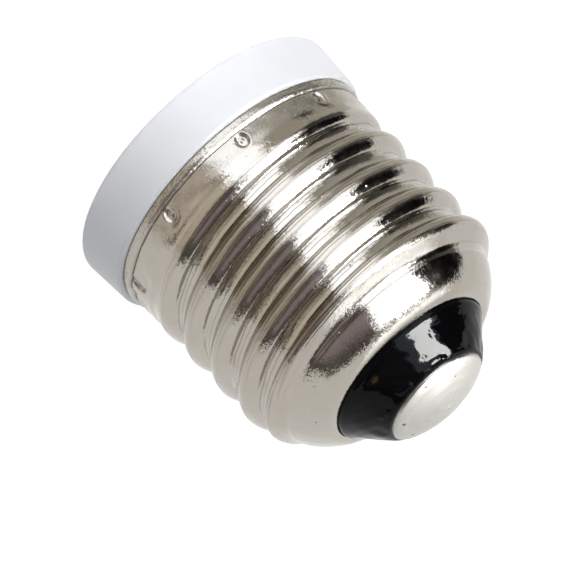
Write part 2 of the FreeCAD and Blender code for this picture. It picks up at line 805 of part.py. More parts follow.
def make_solder_tag():
    body = new_body("solder_tag")
    eye = new_sketch(body, "tag_eye", "XY_Plane", "barrel_height")
    draw_circle(eye, "edge", "0", "0", "tag_radius")
    pad(body, eye, "eye", "tag_sheet")
    tail = new_sketch(body, "tag_tail", "XY_Plane", "barrel_height")
    half = "tag_width / 2"
    draw(tail, [("-tag_length", f"-{half}"), ("0", f"-{half}"), ("0", half), ("-tag_length", half)])
    pad(body, tail, "tail", "tag_sheet")
    hole = new_sketch(body, "tag_hole", "XY_Plane", "barrel_height + tag_sheet")
    draw_circle(hole, "shank", "0", "0", "centre_shank + hole_clearance")
    pocket(body, hole, "tag_hole_cut", "tag_sheet * 1.5")
    return body


# Leads


def bent_wire(name, route, wire):
    """Round wire along straight runs joined by tangent arcs, each as large as its runs allow."""
    turns = list(zip(route, route[1:], route[2:]))
    edges = []
    here = route[0]
    for before, corner, after in turns:
        back = (before - corner).normalize()
        on = (after - corner).normalize()
        half_turn = (math.pi - back.getAngle(on)) / 2
        cut = 0.45 * min((corner - before).Length, (after - corner).Length)
        start = corner + back * cut
        end = corner + on * cut
        bisector = (back + on).normalize()
        radius = cut / math.tan(half_turn)
        middle = corner + bisector * (radius / math.cos(half_turn) - radius)
        edges.append(Part.LineSegment(here, start).toShape())
        edges.append(Part.Arc(start, middle, end).toShape())
        here = end
        print(f"{name}: bend of radius {radius:.2f}")
    edges.append(Part.LineSegment(here, route[-1]).toShape())
    path = Part.Wire(edges)
    section = Part.Wire([Part.Circle(route[0], route[1] - route[0], wire).toShape()])
    feature = doc.addObject("Part::Feature", name)
    feature.Shape = path.makePipeShell([section], True, False)
    feature.Label = name
    return feature


def make_centre_lead():
    wire = value("centre_wire")
    tag_top = value("barrel_height + tag_sheet")
    return bent_wire(
        "centre_lead",
        [
            Vector(-value("centre_lead_start"), 0, tag_top + wire),
            Vector(0, 0, value(f"{GLASS_LEDGE} - eyelet_flange_height - centre_lead_turn")),
            Vector(0, 0, value(SOLDER_FACE)),
        ],
        wire,
    )


def make_side_lead():
    wire = value("side_wire")
    angle = math.radians(value("lead_angle"))
    across = Vector(math.cos(angle), math.sin(angle), 0)
    up = Vector(0, 0, 1)
    start = value("rivet_circle + rivet_head + hole_clearance")
    along_skirt = value("skirt_radius - shell_sheet") - wire
    level = value("barrel_height + side_lift") + wire
    down_barrel = value("barrel_radius + side_gap") + wire
    return bent_wire(
        "side_lead",
        [
            across * start + up * level,
            across * down_barrel + up * level,
            across * down_barrel + up * value(f"{SKIRT_TOP} + side_turn"),
            across * along_skirt + up * value(f"{SKIRT_TOP} - side_enter"),
            across * along_skirt + up * value(f"{NOTCH_FLOOR} + side_end"),
        ],
        wire,
    )


PARTS = [
    make_outer_screw_shell(),
    make_glass_insulator(),
    make_end_contact(),
    make_socket_housing(),
    make_inner_screw_shell(),
    make_centre_contact_spring(),
    make_centre_rivet(),
    make_solder_tag(),
    make_shell_rivets(),
    make_centre_lead(),
    make_side_lead(),
]

doc.recompute()

for item in doc.Objects:
    if {"Invalid", "Error"} & set(item.State):
        raise ValueError(f"{item.Label} did not build: {item.State}")

os.makedirs("parts", exist_ok=True)
for part in PARTS:
    if part.Shape.isNull() or not part.Shape.isValid():
        raise ValueError(f"{part.Label} is not a valid solid")
    part.Shape.exportStep(f"parts/{part.Label}.step")
    box = part.Shape.BoundBox
    print(f"{part.Label}: {part.Shape.Volume:.1f} mm3, z {box.ZMin:.2f} to {box.ZMax:.2f}")
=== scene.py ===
import math

import bpy
import numpy as np
from mathutils import Matrix, Vector


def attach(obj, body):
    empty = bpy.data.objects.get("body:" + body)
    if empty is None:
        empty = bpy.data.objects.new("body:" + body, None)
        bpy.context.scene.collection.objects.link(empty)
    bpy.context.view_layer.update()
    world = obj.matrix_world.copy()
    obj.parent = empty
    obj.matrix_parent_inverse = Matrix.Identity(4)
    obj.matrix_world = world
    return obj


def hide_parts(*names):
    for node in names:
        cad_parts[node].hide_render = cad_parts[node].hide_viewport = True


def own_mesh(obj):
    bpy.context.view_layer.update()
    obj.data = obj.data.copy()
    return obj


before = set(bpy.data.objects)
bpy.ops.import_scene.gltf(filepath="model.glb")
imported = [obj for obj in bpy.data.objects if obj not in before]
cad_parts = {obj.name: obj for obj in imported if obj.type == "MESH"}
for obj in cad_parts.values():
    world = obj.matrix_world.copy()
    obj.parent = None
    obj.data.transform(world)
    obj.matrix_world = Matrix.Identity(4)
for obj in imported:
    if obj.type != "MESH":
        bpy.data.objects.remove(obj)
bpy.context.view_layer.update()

MM = 0.001


# Outer screw shell: one thin sleeve of nickel plated brass. It is rolled to the lamp thread, drawn
# in over the glass as a shoulder with a small lip, and punched round its skirt into a groove of
# the white moulding, which leaves a ring of stake marks.

SHELL_SHEET = 0.25
RIM_RADIUS = 13.18
RIM_FOOT = 5.0
RIM_LIFT = 0.04
RIM_FADE = 0.5
RIM_TOP = 6.0
RIM_SWAGE = 0.35
SCORE_LEVEL = 5.95
SCORE_HALF = 0.12
SCORE_DEPTH = 0.06
SKIRT_RADIUS = 12.95
SKIRT_TOP = 8.2
THREAD_PITCH = 3.629
THREAD_CREST = 13.05
THREAD_ROOT = 12.05
THREAD_RUN = 2.1
THREAD_PHASE = 9.98
SHOULDER_START = 23.2
SHOULDER_FOOT = 25.0
SHOULDER_ARC = 6.9
SHOULDER_CENTRE = (5.37, 21.57)
LIP_START = 9.3
LIP_ROLL = 1.83
LIP_RADIUS = 8.1
# Share of the way from ridge to groove, and the lean of the thread's face there in degrees.
THREAD_LEANS = ((0, 0), (0.56, 36), (0.66, 56), (0.70, 46), (0.75, 6), (1, 0))
LEAN_STEPS = 200

STAKE_COUNT = 9
STAKE_FIRST = 16
STAKE_HEIGHT = 6.8
STAKE_DEPTH = 0.27
STAKE_HALF = (0.62, 0.76)
# How round and how flat the dish is, and height and reach of the button in its middle.
STAKE_POWERS = (2.6, 0.8)
STAKE_BUTTON = (0.55, 0.6)
HALO_REACH = 1.15
HALO_WIDTH = 0.45
HALO_RISE = 0.035
# Number and size of the stake mark that went deeper.
DEEP_STAKE = (8, 1.25)
# Turn, height, half size each way and rise.
PINCHES = ((341, 5.7, 1.3, 0.8, 0.12), (349, 6.6, 1.6, 1.5, -0.22), (333, 7.4, 2.2, 1.2, -0.10))

# Height, waves a turn, waves a millimetre and shift.
FORMING_WAVES = (
    (0.012, 7, 0.11, 0.3), (0.010, 11, -0.07, 2.1), (0.007, 19, 0.19, 4.4), (0.005, 31, -0.23, 1.2),
)
CRIMPING_WAVES = ((0.020, 9, 0.05, 1.0), (0.012, 23, 0.4, 3.3), (0.008, 41, -0.6, 5.2))
# Where the skirt's own waves and marks start to fade, and over what height.
SKIRT_FADE = (7.5, 0.7)
# Level, half width and strength of the painted shade lines round the skirt: at the score line and
# at the rim's foot against the collar.
CREASE_SHADES = ((SCORE_LEVEL, 0.1, 1), (RIM_FOOT, 0.09, 2))
BAND_FADE = 0.1

# Half width in degrees of the close columns at a stake mark, and columns there and between marks.
CLOSE_HALF = 4.2
CLOSE_COLUMNS = 20
OPEN_COLUMNS = 13
# Rings on band, skirt, thread, shoulder and lip, and where those of band and skirt end.
OUTER_RINGS = (12, 28, 222, 13, 12)
INNER_RINGS = (3, 4, 18, 4, 4)
BAND_END = 5.6
SKIRT_END = 8.1

# Lines beside the ridge: way from its middle, half width and depth.
ROLLED_LINES = ((-0.80, 0.07, 1.0), (-0.60, 0.05, 0.7), (-0.17, 0.05, 0.5), (0.34, 0.06, 0.4))
# Way from the ridge's middle of the painted shade line along the groove, and its inner and outer
# half width.
FOLD_SHADE = (1.68, 0.03, 0.11)
# Half width of the rubbed band on a ridge, where it is full and where it ends.
RUBBED_BAND = (0.45, 0.85)

NICKEL = (0.45, 0.42, 0.37, 1)
NICKEL_BROWN = (0.30, 0.255, 0.20, 1)
# Near black of the real pits, and of the painted shade in the skirt's creases and the thread's
# grooves.
PIT_AND_SHADE_DARK = (0.030, 0.025, 0.022, 1)


def eased(share):
    """Soft step from 0 to 1."""
    share = np.clip(share, 0.0, 1.0)
    return share * share * (3 - 2 * share)


def hill(offset, width):
    """Rounded hill of height 1 that ends one width from its middle."""
    return np.clip(1 - (offset / width) ** 2, 0.0, 1.0) ** 2


def waviness(turns, along, waves):
    """Uneven places of a formed piece: (height, waves a turn, waves a millimetre, shift) each."""
    total = np.zeros(np.broadcast(turns, along).shape)
    for height, around, upward, shift in waves:
        total += height * np.sin(around * turns + 2 * math.pi * upward * along + shift)
    return total


def ring_mesh(name, radii, heights, turns, ends="loop"):
    """Object of rings: radii and heights are rows by columns, turns the angle of each column.

    Its ends are joined to each other as a loop, or each closed round a point on the axis.
    """
    rows, columns = radii.shape
    points = np.stack([radii * np.cos(turns), radii * np.sin(turns), heights], axis=-1)
    points = points.reshape(-1, 3)
    ring = np.arange(columns)
    after = (ring + 1) % columns
    faces = []
    for row in range(rows if ends == "loop" else rows - 1):
        low = row * columns
        high = (row + 1) % rows * columns
        faces += np.stack([low + ring, low + after, high + after, high + ring], axis=-1).tolist()
    if ends == "poles":
        poles = [[0, 0, heights[0].mean()], [0, 0, heights[-1].mean()]]
        first = rows * columns
        last = (rows - 1) * columns
        points = np.concatenate([points, poles])
        faces += [[first, b, a] for a, b in zip(ring.tolist(), after.tolist())]
        faces += [[first + 1, last + a, last + b] for a, b in zip(ring.tolist(), after.tolist())]
    return new_piece(name, points, faces)


def new_piece(name, points, faces):
    """Smooth shaded object from points in millimetres."""
    mesh = bpy.data.meshes.new(name)
    mesh.from_pydata((np.asarray(points) * MM).tolist(), [], faces)
    mesh.polygons.foreach_set("use_smooth", np.ones(len(mesh.polygons), dtype=bool))
    mesh.update()
    piece = bpy.data.objects.new(name, mesh)
    bpy.context.scene.collection.objects.link(piece)
    return piece


def keep_values(piece, name, values):
    """Keeps one number at every point of a mesh for its material to read."""
    layer = piece.data.attributes.new(name, "FLOAT", "POINT")
    layer.data.foreach_set("value", np.asarray(values, np.float32).ravel())


shoulder_lean = math.asin((SHOULDER_FOOT - SHOULDER_CENTRE[1]) / SHOULDER_ARC)
shoulder_radius = SHOULDER_CENTRE[0] + SHOULDER_ARC * math.cos(shoulder_lean)
lip_lean = math.acos((LIP_START - SHOULDER_CENTRE[0]) / SHOULDER_ARC)
lip_centre = (
    LIP_START - LIP_ROLL * math.cos(lip_lean),
    SHOULDER_CENTRE[1] + (SHOULDER_ARC - LIP_ROLL) * math.sin(lip_lean),
)
lip_end = math.acos((LIP_RADIUS - lip_centre[0]) / LIP_ROLL)
lip_top = lip_centre[1] + LIP_ROLL * math.sin(lip_end)

# Columns stand close together at each stake mark and wider apart between them.
stake_gap = 360 / STAKE_COUNT
near_stake = np.linspace(-CLOSE_HALF, CLOSE_HALF, CLOSE_COLUMNS + 1)[:-1]
off_stake = np.linspace(CLOSE_HALF, stake_gap - CLOSE_HALF, OPEN_COLUMNS + 1)[:-1]
one_gap = np.concatenate([near_stake, off_stake]) + STAKE_FIRST
shell_turns = np.radians(np.concatenate([one_gap + stake_gap * k for k in range(STAKE_COUNT)]))


def skirt_radius(height):
    """Outside of the skirt, swaged out to the rim and scored round the top of that band."""
    step = eased((height - RIM_TOP + RIM_SWAGE) / RIM_SWAGE)
    swaged = RIM_RADIUS + (SKIRT_RADIUS - RIM_RADIUS) * step
    return swaged - SCORE_DEPTH * hill(height - SCORE_LEVEL, SCORE_HALF)


def off_ridge(turns, height):
    """Way along the axis from the nearest ridge of the thread, above 0 towards the contact."""
    along = (height - THREAD_PHASE) / THREAD_PITCH - turns / (2 * math.pi)
    return (np.mod(along + 0.5, 1.0) - 0.5) * THREAD_PITCH


# The thread's face from ridge to groove: its leans, summed up to a share of the full depth.
way_shares = np.linspace(0, 1, LEAN_STEPS + 1)
slopes = np.tan(np.radians(np.interp(way_shares, *zip(*THREAD_LEANS))))
sunk = np.concatenate([[0], np.cumsum((slopes[1:] + slopes[:-1]) / 2)])
sunk = sunk / sunk[-1]


def thread_sink(turns, height):
    """0 on the thread's ridge and 1 at the bottom of its groove."""
    return np.interp(np.abs(off_ridge(turns, height)) * 2 / THREAD_PITCH, way_shares, sunk)


def thread_runs(height):
    """How far the thread has run in from the skirt, and how far out into the shoulder."""
    run_in = eased((height - SKIRT_TOP) / THREAD_RUN)
    run_out = eased((height - SHOULDER_START) / (SHOULDER_FOOT - SHOULDER_START))
    return run_in, run_out


def thread_share(height):
    """Depth of the thread as a share of its full depth."""
    run_in, run_out = thread_runs(height)
    return run_in * (1 - run_out)


def thread_radius(turns, height):
    """Outside of the thread between skirt and shoulder."""
    run_in, run_out = thread_runs(height)
    ridge = SKIRT_RADIUS + (THREAD_CREST - SKIRT_RADIUS) * run_in
    ridge = ridge - (THREAD_CREST - shoulder_radius) * run_out
    depth = (THREAD_CREST - THREAD_ROOT) * thread_share(height)
    return ridge - depth * thread_sink(turns, height)


def shell_rings(inset, counts):
    """Radii and heights of one face of the sheet, from the rim to the lip."""
    band, skirt, thread, shoulder, lip = counts
    columns = len(shell_turns)
    band_levels = np.linspace(RIM_FOOT + RIM_LIFT, BAND_END, band)[:-1]
    levels = np.concatenate([band_levels, np.linspace(BAND_END, SKIRT_END, skirt)])
    radii = [np.repeat((skirt_radius(levels) - inset)[:, None], columns, axis=1)]
    heights = [np.repeat(levels[:, None], columns, axis=1)]
    turns, levels = np.meshgrid(shell_turns, np.linspace(SKIRT_TOP, SHOULDER_FOOT, thread))
    radii.append(thread_radius(turns, levels) - inset)
    heights.append(levels)
    for centre, arc, start, end, count in (
        (SHOULDER_CENTRE, SHOULDER_ARC, shoulder_lean, lip_lean, shoulder),
        (lip_centre, LIP_ROLL, lip_lean, lip_end, lip),
    ):
        lean = np.linspace(start, end, count + 1)[1:, None]
        radii.append(np.repeat(centre[0] + (arc - inset) * np.cos(lean), columns, axis=1))
        heights.append(np.repeat(centre[1] + (arc - inset) * np.sin(lean), columns, axis=1))
    return np.concatenate(radii), np.concatenate(heights)


def way_round(turns, turn, radius):
    """Way along a circle from one turn, given in degrees, to the turns of some columns."""
    return (np.mod(turns - math.radians(turn) + math.pi, 2 * math.pi) - math.pi) * radius


outer_radii, outer_heights = shell_rings(0, OUTER_RINGS)
inner_radii, inner_heights = shell_rings(SHELL_SHEET, INNER_RINGS)

# Each stake mark is a dish with a slightly raised edge; the one nearest the side lead went deeper.
stake_dish = np.zeros_like(outer_radii)
stake_halo = np.zeros_like(outer_radii)
for mark in range(STAKE_COUNT):
    size = DEEP_STAKE[1] if mark == DEEP_STAKE[0] else 1.0
    across = way_round(shell_turns, STAKE_FIRST + stake_gap * mark, SKIRT_RADIUS) / size
    upward = (outer_heights - STAKE_HEIGHT) / size
    reach = np.hypot(across / STAKE_HALF[0], upward / STAKE_HALF[1])
    dish = np.clip(1 - reach ** STAKE_POWERS[0], 0, 1) ** STAKE_POWERS[1]
    stake_dish += size * dish * (1 - STAKE_BUTTON[0] * hill(reach, STAKE_BUTTON[1]))
    stake_halo += hill(reach - HALO_REACH, HALO_WIDTH)
on_skirt = 1 - eased((outer_heights - SKIRT_FADE[0]) / SKIRT_FADE[1])
above_rim = eased((outer_heights - RIM_FOOT) / RIM_FADE)
forming = waviness(shell_turns, outer_heights, FORMING_WAVES)
crimping = waviness(shell_turns, outer_heights, CRIMPING_WAVES)
outer_radii = outer_radii - on_skirt * (STAKE_DEPTH * stake_dish - HALO_RISE * stake_halo)
outer_radii = outer_radii + above_rim * (forming + crimping * on_skirt)

# Where the side lead is pinched, the edge bulges a little and the skirt beside it is pressed in.
for turn, height, across, upward, rise in PINCHES:
    aside = way_round(shell_turns, turn, SKIRT_RADIUS)
    outer_radii = outer_radii + rise * hill(aside, across) * hill(outer_heights - height, upward)

shell = ring_mesh(
    "nickel_sleeve",
    np.concatenate([outer_radii, inner_radii[::-1]]),
    np.concatenate([outer_heights, inner_heights[::-1]]),
    shell_turns,
)
inner_zeros = np.zeros_like(inner_radii)
for label, values in (
    ("off_ridge", off_ridge(shell_turns, outer_heights)),
    ("ridged", thread_share(outer_heights)),
    # Painted shade: dark lines at the score line and at the rim's foot against the collar.
    ("crease_shade", sum(shade_strength * hill(outer_heights - level, half) for level, half, shade_strength in CREASE_SHADES)),
    ("skirt", on_skirt),
    ("rim_band", 1 - eased((outer_heights - RIM_TOP + BAND_FADE) / BAND_FADE)),
):
    keep_values(shell, label, np.concatenate([values, inner_zeros]))


def node(tree, kind, inputs=None, **settings):
    """Adds a shader node; its inputs are given by name or number, as values or as sockets."""
    made = tree.nodes.new(kind)
    for name, setting in settings.items():
        setattr(made, name, setting)
    for name, source in (inputs or {}).items():
        if isinstance(source, bpy.types.NodeSocket):
            tree.links.new(source, made.inputs[name])
        else:
            made.inputs[name].default_value = source
    return made


def sums(tree, operation, *sources):
    """Output of a Math node."""
    made = node(tree, "ShaderNodeMath", dict(enumerate(sources)), operation=operation)
    return made.outputs[0]


def mixed(tree, share, first, second):
    """Colour between two colours."""
    made = node(tree, "ShaderNodeMix", {0: share, 6: first, 7: second}, data_type="RGBA")
    return made.outputs[2]


def scaled(tree, source, low, high, from_low=0.0, from_high=1.0):
    """Number moved from one range to another and held within it."""
    return node(tree, "ShaderNodeMapRange", {
        "Value": source,
        "From Min": from_low,
        "From Max": from_high,
        "To Min": low,
        "To Max": high,
    }).outputs[0]


def vectors(tree, operation, inputs):
    """Output of a Vector Math node."""
    return node(tree, "ShaderNodeVectorMath", inputs, operation=operation).outputs[0]


def kept(tree, name):
    """Number that the mesh keeps at its points."""
    return node(tree, "ShaderNodeAttribute", attribute_name=name).outputs["Fac"]


def millimetres(tree):
    """Place on the object in millimetres."""
    place = node(tree, "ShaderNodeTexCoord").outputs["Object"]
    return vectors(tree, "MULTIPLY", {0: place, 1: (1 / MM, 1 / MM, 1 / MM)})


def new_group(name, inputs, output, output_type="NodeSocketFloat"):
    """Node group with a place and numbers going in: (tree, what goes in, what comes out)."""
    tree = bpy.data.node_groups.new(name, "ShaderNodeTree")
    tree.interface.new_socket("Place", in_out="INPUT", socket_type="NodeSocketVector")
    for label, value in inputs.items():
        socket = tree.interface.new_socket(label, in_out="INPUT", socket_type="NodeSocketFloat")
        socket.default_value = value
    tree.interface.new_socket(output, in_out="OUTPUT", socket_type=output_type)
    going_in = tree.nodes.new("NodeGroupInput").outputs
    return tree, going_in, tree.nodes.new("NodeGroupOutput").inputs


def placed(tree, group, place, **inputs):
    """What a node group gives at a place in a material."""
    return node(tree, "ShaderNodeGroup", {"Place": place, **inputs}, node_tree=group).outputs[0]


def group_noise(tree, inside, fineness, detail):
    """Noise in a node group, after its place, size and seed."""
    return node(tree, "ShaderNodeTexNoise", {
        "Vector": inside["Place"],
        "W": inside["Seed"],
        "Scale": sums(tree, "DIVIDE", fineness, inside["Size"]),
        "Detail": detail,
    }, noise_dimensions="4D").outputs[0]


def new_material(name, piece, **plain):
    """Material of a piece, with plain values on its Principled shader: (tree, shader)."""
    material = bpy.data.materials.new(name)
    material.use_nodes = True
    tree = material.node_tree
    shader = tree.nodes["Principled BSDF"]
    for label, value in plain.items():
        shader.inputs[label].default_value = value
    piece.data.materials.clear()
    piece.data.materials.append(material)
    return tree, shader


def bump(tree, shader, height, depth, normal=None):
    """Relief of a depth in millimetres on a shader, over another normal if one is given."""
    below = {} if normal is None else {"Normal": normal}
    relief = node(tree, "ShaderNodeBump", {"Height": height, "Distance": depth * MM, **below})
    tree.links.new(relief.outputs[0], shader.inputs["Normal"])


# Patches: soft uneven areas, such as thin plating or handling marks.
patches, inside, out = new_group(
    "patches", {"Size": 3.0, "Edge": 0.15, "Cover": 0.5, "Seed": 0.0}, "Mask"
)
clouds = group_noise(patches, inside, 1.0, 3.0)
level = sums(patches, "SUBTRACT", 1.0, inside["Cover"])
low = sums(patches, "SUBTRACT", level, inside["Edge"])
high = sums(patches, "ADD", level, inside["Edge"])
patches.links.new(scaled(patches, clouds, 0.0, 1.0, low, high), out["Mask"])

# Grain: fine relief of metal or moulding, in two sizes.
grain, inside, out = new_group("grain", {"Size": 0.2, "Seed": 0.0}, "Height")
coarse = group_noise(grain, inside, 1.0, 2.0)
fine = group_noise(grain, inside, 2.3, 1.0)
grain.links.new(sums(grain, "MULTIPLY_ADD", fine, 0.5, coarse), out["Height"])

# Specks: scattered pits or dust, each a small dot of its own size.
specks, inside, out = new_group(
    "specks", {"Gap": 1.0, "Size": 0.12, "Cover": 0.3, "Seed": 0.0}, "Mask"
)
dots = node(specks, "ShaderNodeTexVoronoi", {
    "Vector": inside["Place"],
    "W": inside["Seed"],
    "Scale": sums(specks, "DIVIDE", 1.0, inside["Gap"]),
}, voronoi_dimensions="4D")
parts = node(specks, "ShaderNodeSeparateColor", {"Color": dots.outputs["Color"]}).outputs
shown = sums(specks, "LESS_THAN", parts["Red"], inside["Cover"])
width = sums(specks, "MULTIPLY", parts["Green"], inside["Size"])
width = sums(specks, "DIVIDE", width, inside["Gap"])
inner = sums(specks, "MULTIPLY", width, 0.5)
dot = scaled(specks, dots.outputs["Distance"], 1.0, 0.0, inner, width)
specks.links.new(sums(specks, "MULTIPLY", dot, shown), out["Mask"])

# Facets: tiny flat places that each lean their own way, such as crystals of plating.
facets, inside, out = new_group(
    "facets", {"Size": 0.15, "Lean": 0.1}, "Normal", "NodeSocketVector"
)
cells = node(facets, "ShaderNodeTexVoronoi", {
    "Vector": inside["Place"],
    "Scale": sums(facets, "DIVIDE", 1.0, inside["Size"]),
})
offset = vectors(facets, "SUBTRACT", {0: cells.outputs["Color"], 1: (0.5, 0.5, 0.5)})
offset = vectors(facets, "SCALE", {0: offset, "Scale": inside["Lean"]})
surface = node(facets, "ShaderNodeNewGeometry").outputs["Normal"]
leaning = vectors(facets, "ADD", {0: surface, 1: offset})
facets.links.new(vectors(facets, "NORMALIZE", {0: leaning}), out["Normal"])

tree, shader = new_material("nickel_shell", shell, Metallic=1.0)
place = millimetres(tree)
ridged = kept(tree, "ridged")
thin = placed(tree, patches, place, Size=2.6, Edge=0.16, Cover=0.42)
dull = placed(tree, patches, place, Size=0.9, Edge=0.12, Cover=0.5, Seed=3.0)
# Patches along which the painted shade lines of the skirt show, with breaks between them.
crease_shade_patches = placed(tree, patches, place, Size=0.7, Edge=0.1, Cover=0.7, Seed=5.0)
grainy = placed(tree, patches, place, Size=1.7, Edge=0.1, Cover=0.5, Seed=7.0)
pits = placed(tree, specks, place, Gap=0.8, Size=0.16, Cover=0.3, Seed=1.0)
dents = placed(tree, specks, place, Gap=0.42, Size=0.12, Cover=0.3, Seed=9.0)
fine_grain = placed(tree, grain, place, Size=0.3, Seed=2.0)

# A lamp holder has rubbed lines along the ridges, and rolling left a few deeper ones beside them.
parts = node(tree, "ShaderNodeSeparateXYZ", {0: place}).outputs
sway = node(tree, "ShaderNodeTexNoise", {"Vector": place, "Scale": 0.35, "Detail": 1.0}).outputs[0]
beside = sums(tree, "ADD", kept(tree, "off_ridge"), 0.13)
beside = sums(tree, "MULTIPLY_ADD", sway, 0.3, beside)
line_place = node(tree, "ShaderNodeCombineXYZ", {
    0: sums(tree, "MULTIPLY", beside, 4.5),
    1: sums(tree, "MULTIPLY", parts[0], 0.12),
    2: sums(tree, "MULTIPLY", parts[1], 0.12),
}).outputs[0]
lines = node(tree, "ShaderNodeTexNoise", {
    "Vector": line_place,
    "Scale": 1.0,
    "Detail": 2.0,
}).outputs[0]
rubbed = scaled(tree, sums(tree, "ABSOLUTE", beside), 1.0, 0.0, *RUBBED_BAND)
rubbed = sums(tree, "MULTIPLY", ridged, rubbed)
scored = 0.0
for offset, width, depth in ROLLED_LINES:
    away = sums(tree, "ABSOLUTE", sums(tree, "SUBTRACT", beside, offset))
    line = scaled(tree, away, depth, 0.0, 0.0, width)
    scored = sums(tree, "MULTIPLY_ADD", line, ridged, scored)
# Painted shade: a dark line along the bottom of the thread's groove.
fold_shade = sums(tree, "ABSOLUTE", sums(tree, "SUBTRACT", beside, FOLD_SHADE[0]))
fold_shade = sums(tree, "MULTIPLY", scaled(tree, fold_shade, 1.0, 0.0, *FOLD_SHADE[1:]), ridged)

brown = sums(tree, "MULTIPLY", rubbed, scaled(tree, lines, 0.0, 1.0, 0.42, 0.6))
brown = sums(tree, "MULTIPLY", brown, 0.75)
tint = sums(tree, "MAXIMUM", brown, sums(tree, "MULTIPLY", thin, 0.25))
tint = sums(tree, "MAXIMUM", tint, sums(tree, "MULTIPLY", scored, 0.6))
colour = mixed(tree, tint, NICKEL, NICKEL_BROWN)
# The colour goes dark at real pits and, as painted shade, along the score line, at the rim's foot
# and in the grooves.
pits_and_painted_shade = sums(tree, "MULTIPLY", kept(tree, "crease_shade"), crease_shade_patches)
pits_and_painted_shade = sums(tree, "MAXIMUM", pits_and_painted_shade, sums(tree, "MULTIPLY", pits, 0.7))
pits_and_painted_shade = sums(tree, "MAXIMUM", pits_and_painted_shade, sums(tree, "MULTIPLY", fold_shade, 0.35))
tree.links.new(mixed(tree, pits_and_painted_shade, colour, PIT_AND_SHADE_DARK), shader.inputs["Base Color"])
rough = sums(tree, "MULTIPLY_ADD", dull, 0.05, 0.08)
rough = sums(tree, "MULTIPLY_ADD", kept(tree, "skirt"), 0.16, rough)
rough = sums(tree, "MULTIPLY_ADD", rubbed, 0.10, rough)
rough = sums(tree, "MULTIPLY_ADD", pits_and_painted_shade, 0.3, rough)
tree.links.new(rough, shader.inputs["Roughness"])
relief = sums(tree, "MULTIPLY", fine_grain, sums(tree, "MULTIPLY_ADD", grainy, 0.7, 0.3))
relief = sums(tree, "MULTIPLY_ADD", sums(tree, "MULTIPLY", lines, rubbed), 2.0, relief)
relief = sums(tree, "MULTIPLY_ADD", scored, -2.5, relief)
relief = sums(tree, "MULTIPLY_ADD", pits, -0.8, relief)
relief = sums(tree, "MULTIPLY_ADD", dents, -1.5, relief)
lean = sums(tree, "MULTIPLY_ADD", grainy, 0.08, 0.035)
lean = sums(tree, "MULTIPLY_ADD", kept(tree, "rim_band"), 0.16, lean)
crystals = placed(tree, facets, place, Size=0.09, Lean=lean)
bump(tree, shader, relief, 0.012, crystals)

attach(shell, "adapter")
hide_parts("outer_screw_shell")


# Black glass: vitrite poured hot into the shoulder, which locks the end contact in place. Its cone
# cooled with shallow waves and a few runs beside the contact.

GLASS_HOLE = 1.55
GLASS_LEDGE = (2.8, 28.0)
GLASS_FUNNEL = (7.0, 24.9)
GLASS_NECK = 8.05
GLASS_CONE_FOOT = (7.7, 28.2)
GLASS_TOP = (5.32, 31.0)
GLASS_GAP = 0.3
# Where the glass leaves the lip: steps from its neck and from the lip's top.
GLASS_COLLAR = ((0, -0.02), (-0.03, 0.22), (-0.12, 0.42))
# Steps from the cone's top round its edge.
GLASS_EDGE = ((0.1, -0.12), (-0.06, 0))
# Steps to each side of the outline, from the ledge round to the hole.
ARC_STEPS = 4
GLASS_STEPS = [2, 2, 1] + [1] * 2 * ARC_STEPS + [1, 2, 3, 2, 3, 46, 4, 6, 2]
GLASS_COLUMNS = 384

# Shares of the cone's height where its waves start, and where and how fast they end; then the
# radius inside which there are none, and how far the cone shrank.
CONE_START = 0.15
CONE_END = (1.02, 0.1)
CONE_INNER = 5.2
CONE_SHRINK = 0.03
# Middle and half height of the runs, as shares of the cone's height.
RUNS_PLACE = (0.78, 0.3)
# Height, waves a turn, waves a millimetre and shift.
POURING_WAVES = (
    (0.030, 3, 0.10, 0.4), (0.022, 7, 0.35, 1.9), (0.012, 13, -0.5, 3.0), (0.006, 29, 0.9, 0.8),
)
RUN_WAVES = ((0.035, 5, 0, 0.9), (0.030, 11, 0, 2.2), (0.018, 21, 0, 4.0))
# Turn, height, half size each way and rise.
GLASS_DROPS = (
    (251, 30.62, 1.1, 0.26, 0.16), (243, 30.72, 0.6, 0.24, 0.14), (262, 30.70, 0.5, 0.2, 0.10),
    (286, 30.60, 0.9, 0.24, 0.16), (291, 30.35, 0.4, 0.3, 0.12), (281, 30.75, 0.4, 0.16, 0.12),
    (315, 30.55, 0.5, 0.25, 0.12), (322, 30.35, 0.35, 0.25, 0.10), (293, 28.55, 0.7, 0.3, 0.12),
    (222, 30.55, 0.5, 0.25, 0.10), (40, 30.60, 0.9, 0.25, 0.12), (120, 30.50, 0.7, 0.3, 0.12),
)
DROP_FLATNESS = 0.5
# Turn, height and half width; a bubble is flatter than it is wide.
GLASS_BUBBLES = ((293, 28.6, 0.6), (297, 28.45, 0.3), (240, 30.5, 0.25))
BUBBLE_FLATNESS = 1.5

GLASS_BLACK = (0.0025, 0.0025, 0.003, 1)
GLASS_AMBER = (0.085, 0.05, 0.025, 1)
DUST = (0.45, 0.44, 0.42, 1)


def outline_rows(corners, steps):
    """Points along an outline of (radius, height) corners, steps of them to each side."""
    rows = []
    for (start, end), count in zip(zip(corners, corners[1:]), steps):
        for step in range(count):
            share = step / count
            rows.append([a + (b - a) * share for a, b in zip(start, end)])
    rows.append(list(corners[-1]))
    return np.array(rows)


def arc_points(centre, arc, leans):
    """Points of an arc of (radius, height), at each lean from the level."""
    return [(centre[0] + arc * math.cos(a), centre[1] + arc * math.sin(a)) for a in leans]


def spun(rows, columns):
    """Turns of some columns, with the radii and heights of an outline at each."""
    turns = np.linspace(0, 2 * math.pi, columns + 1)[:-1]
    return turns, np.repeat(rows[:, :1], columns, axis=1), np.repeat(rows[:, 1:], columns, axis=1)


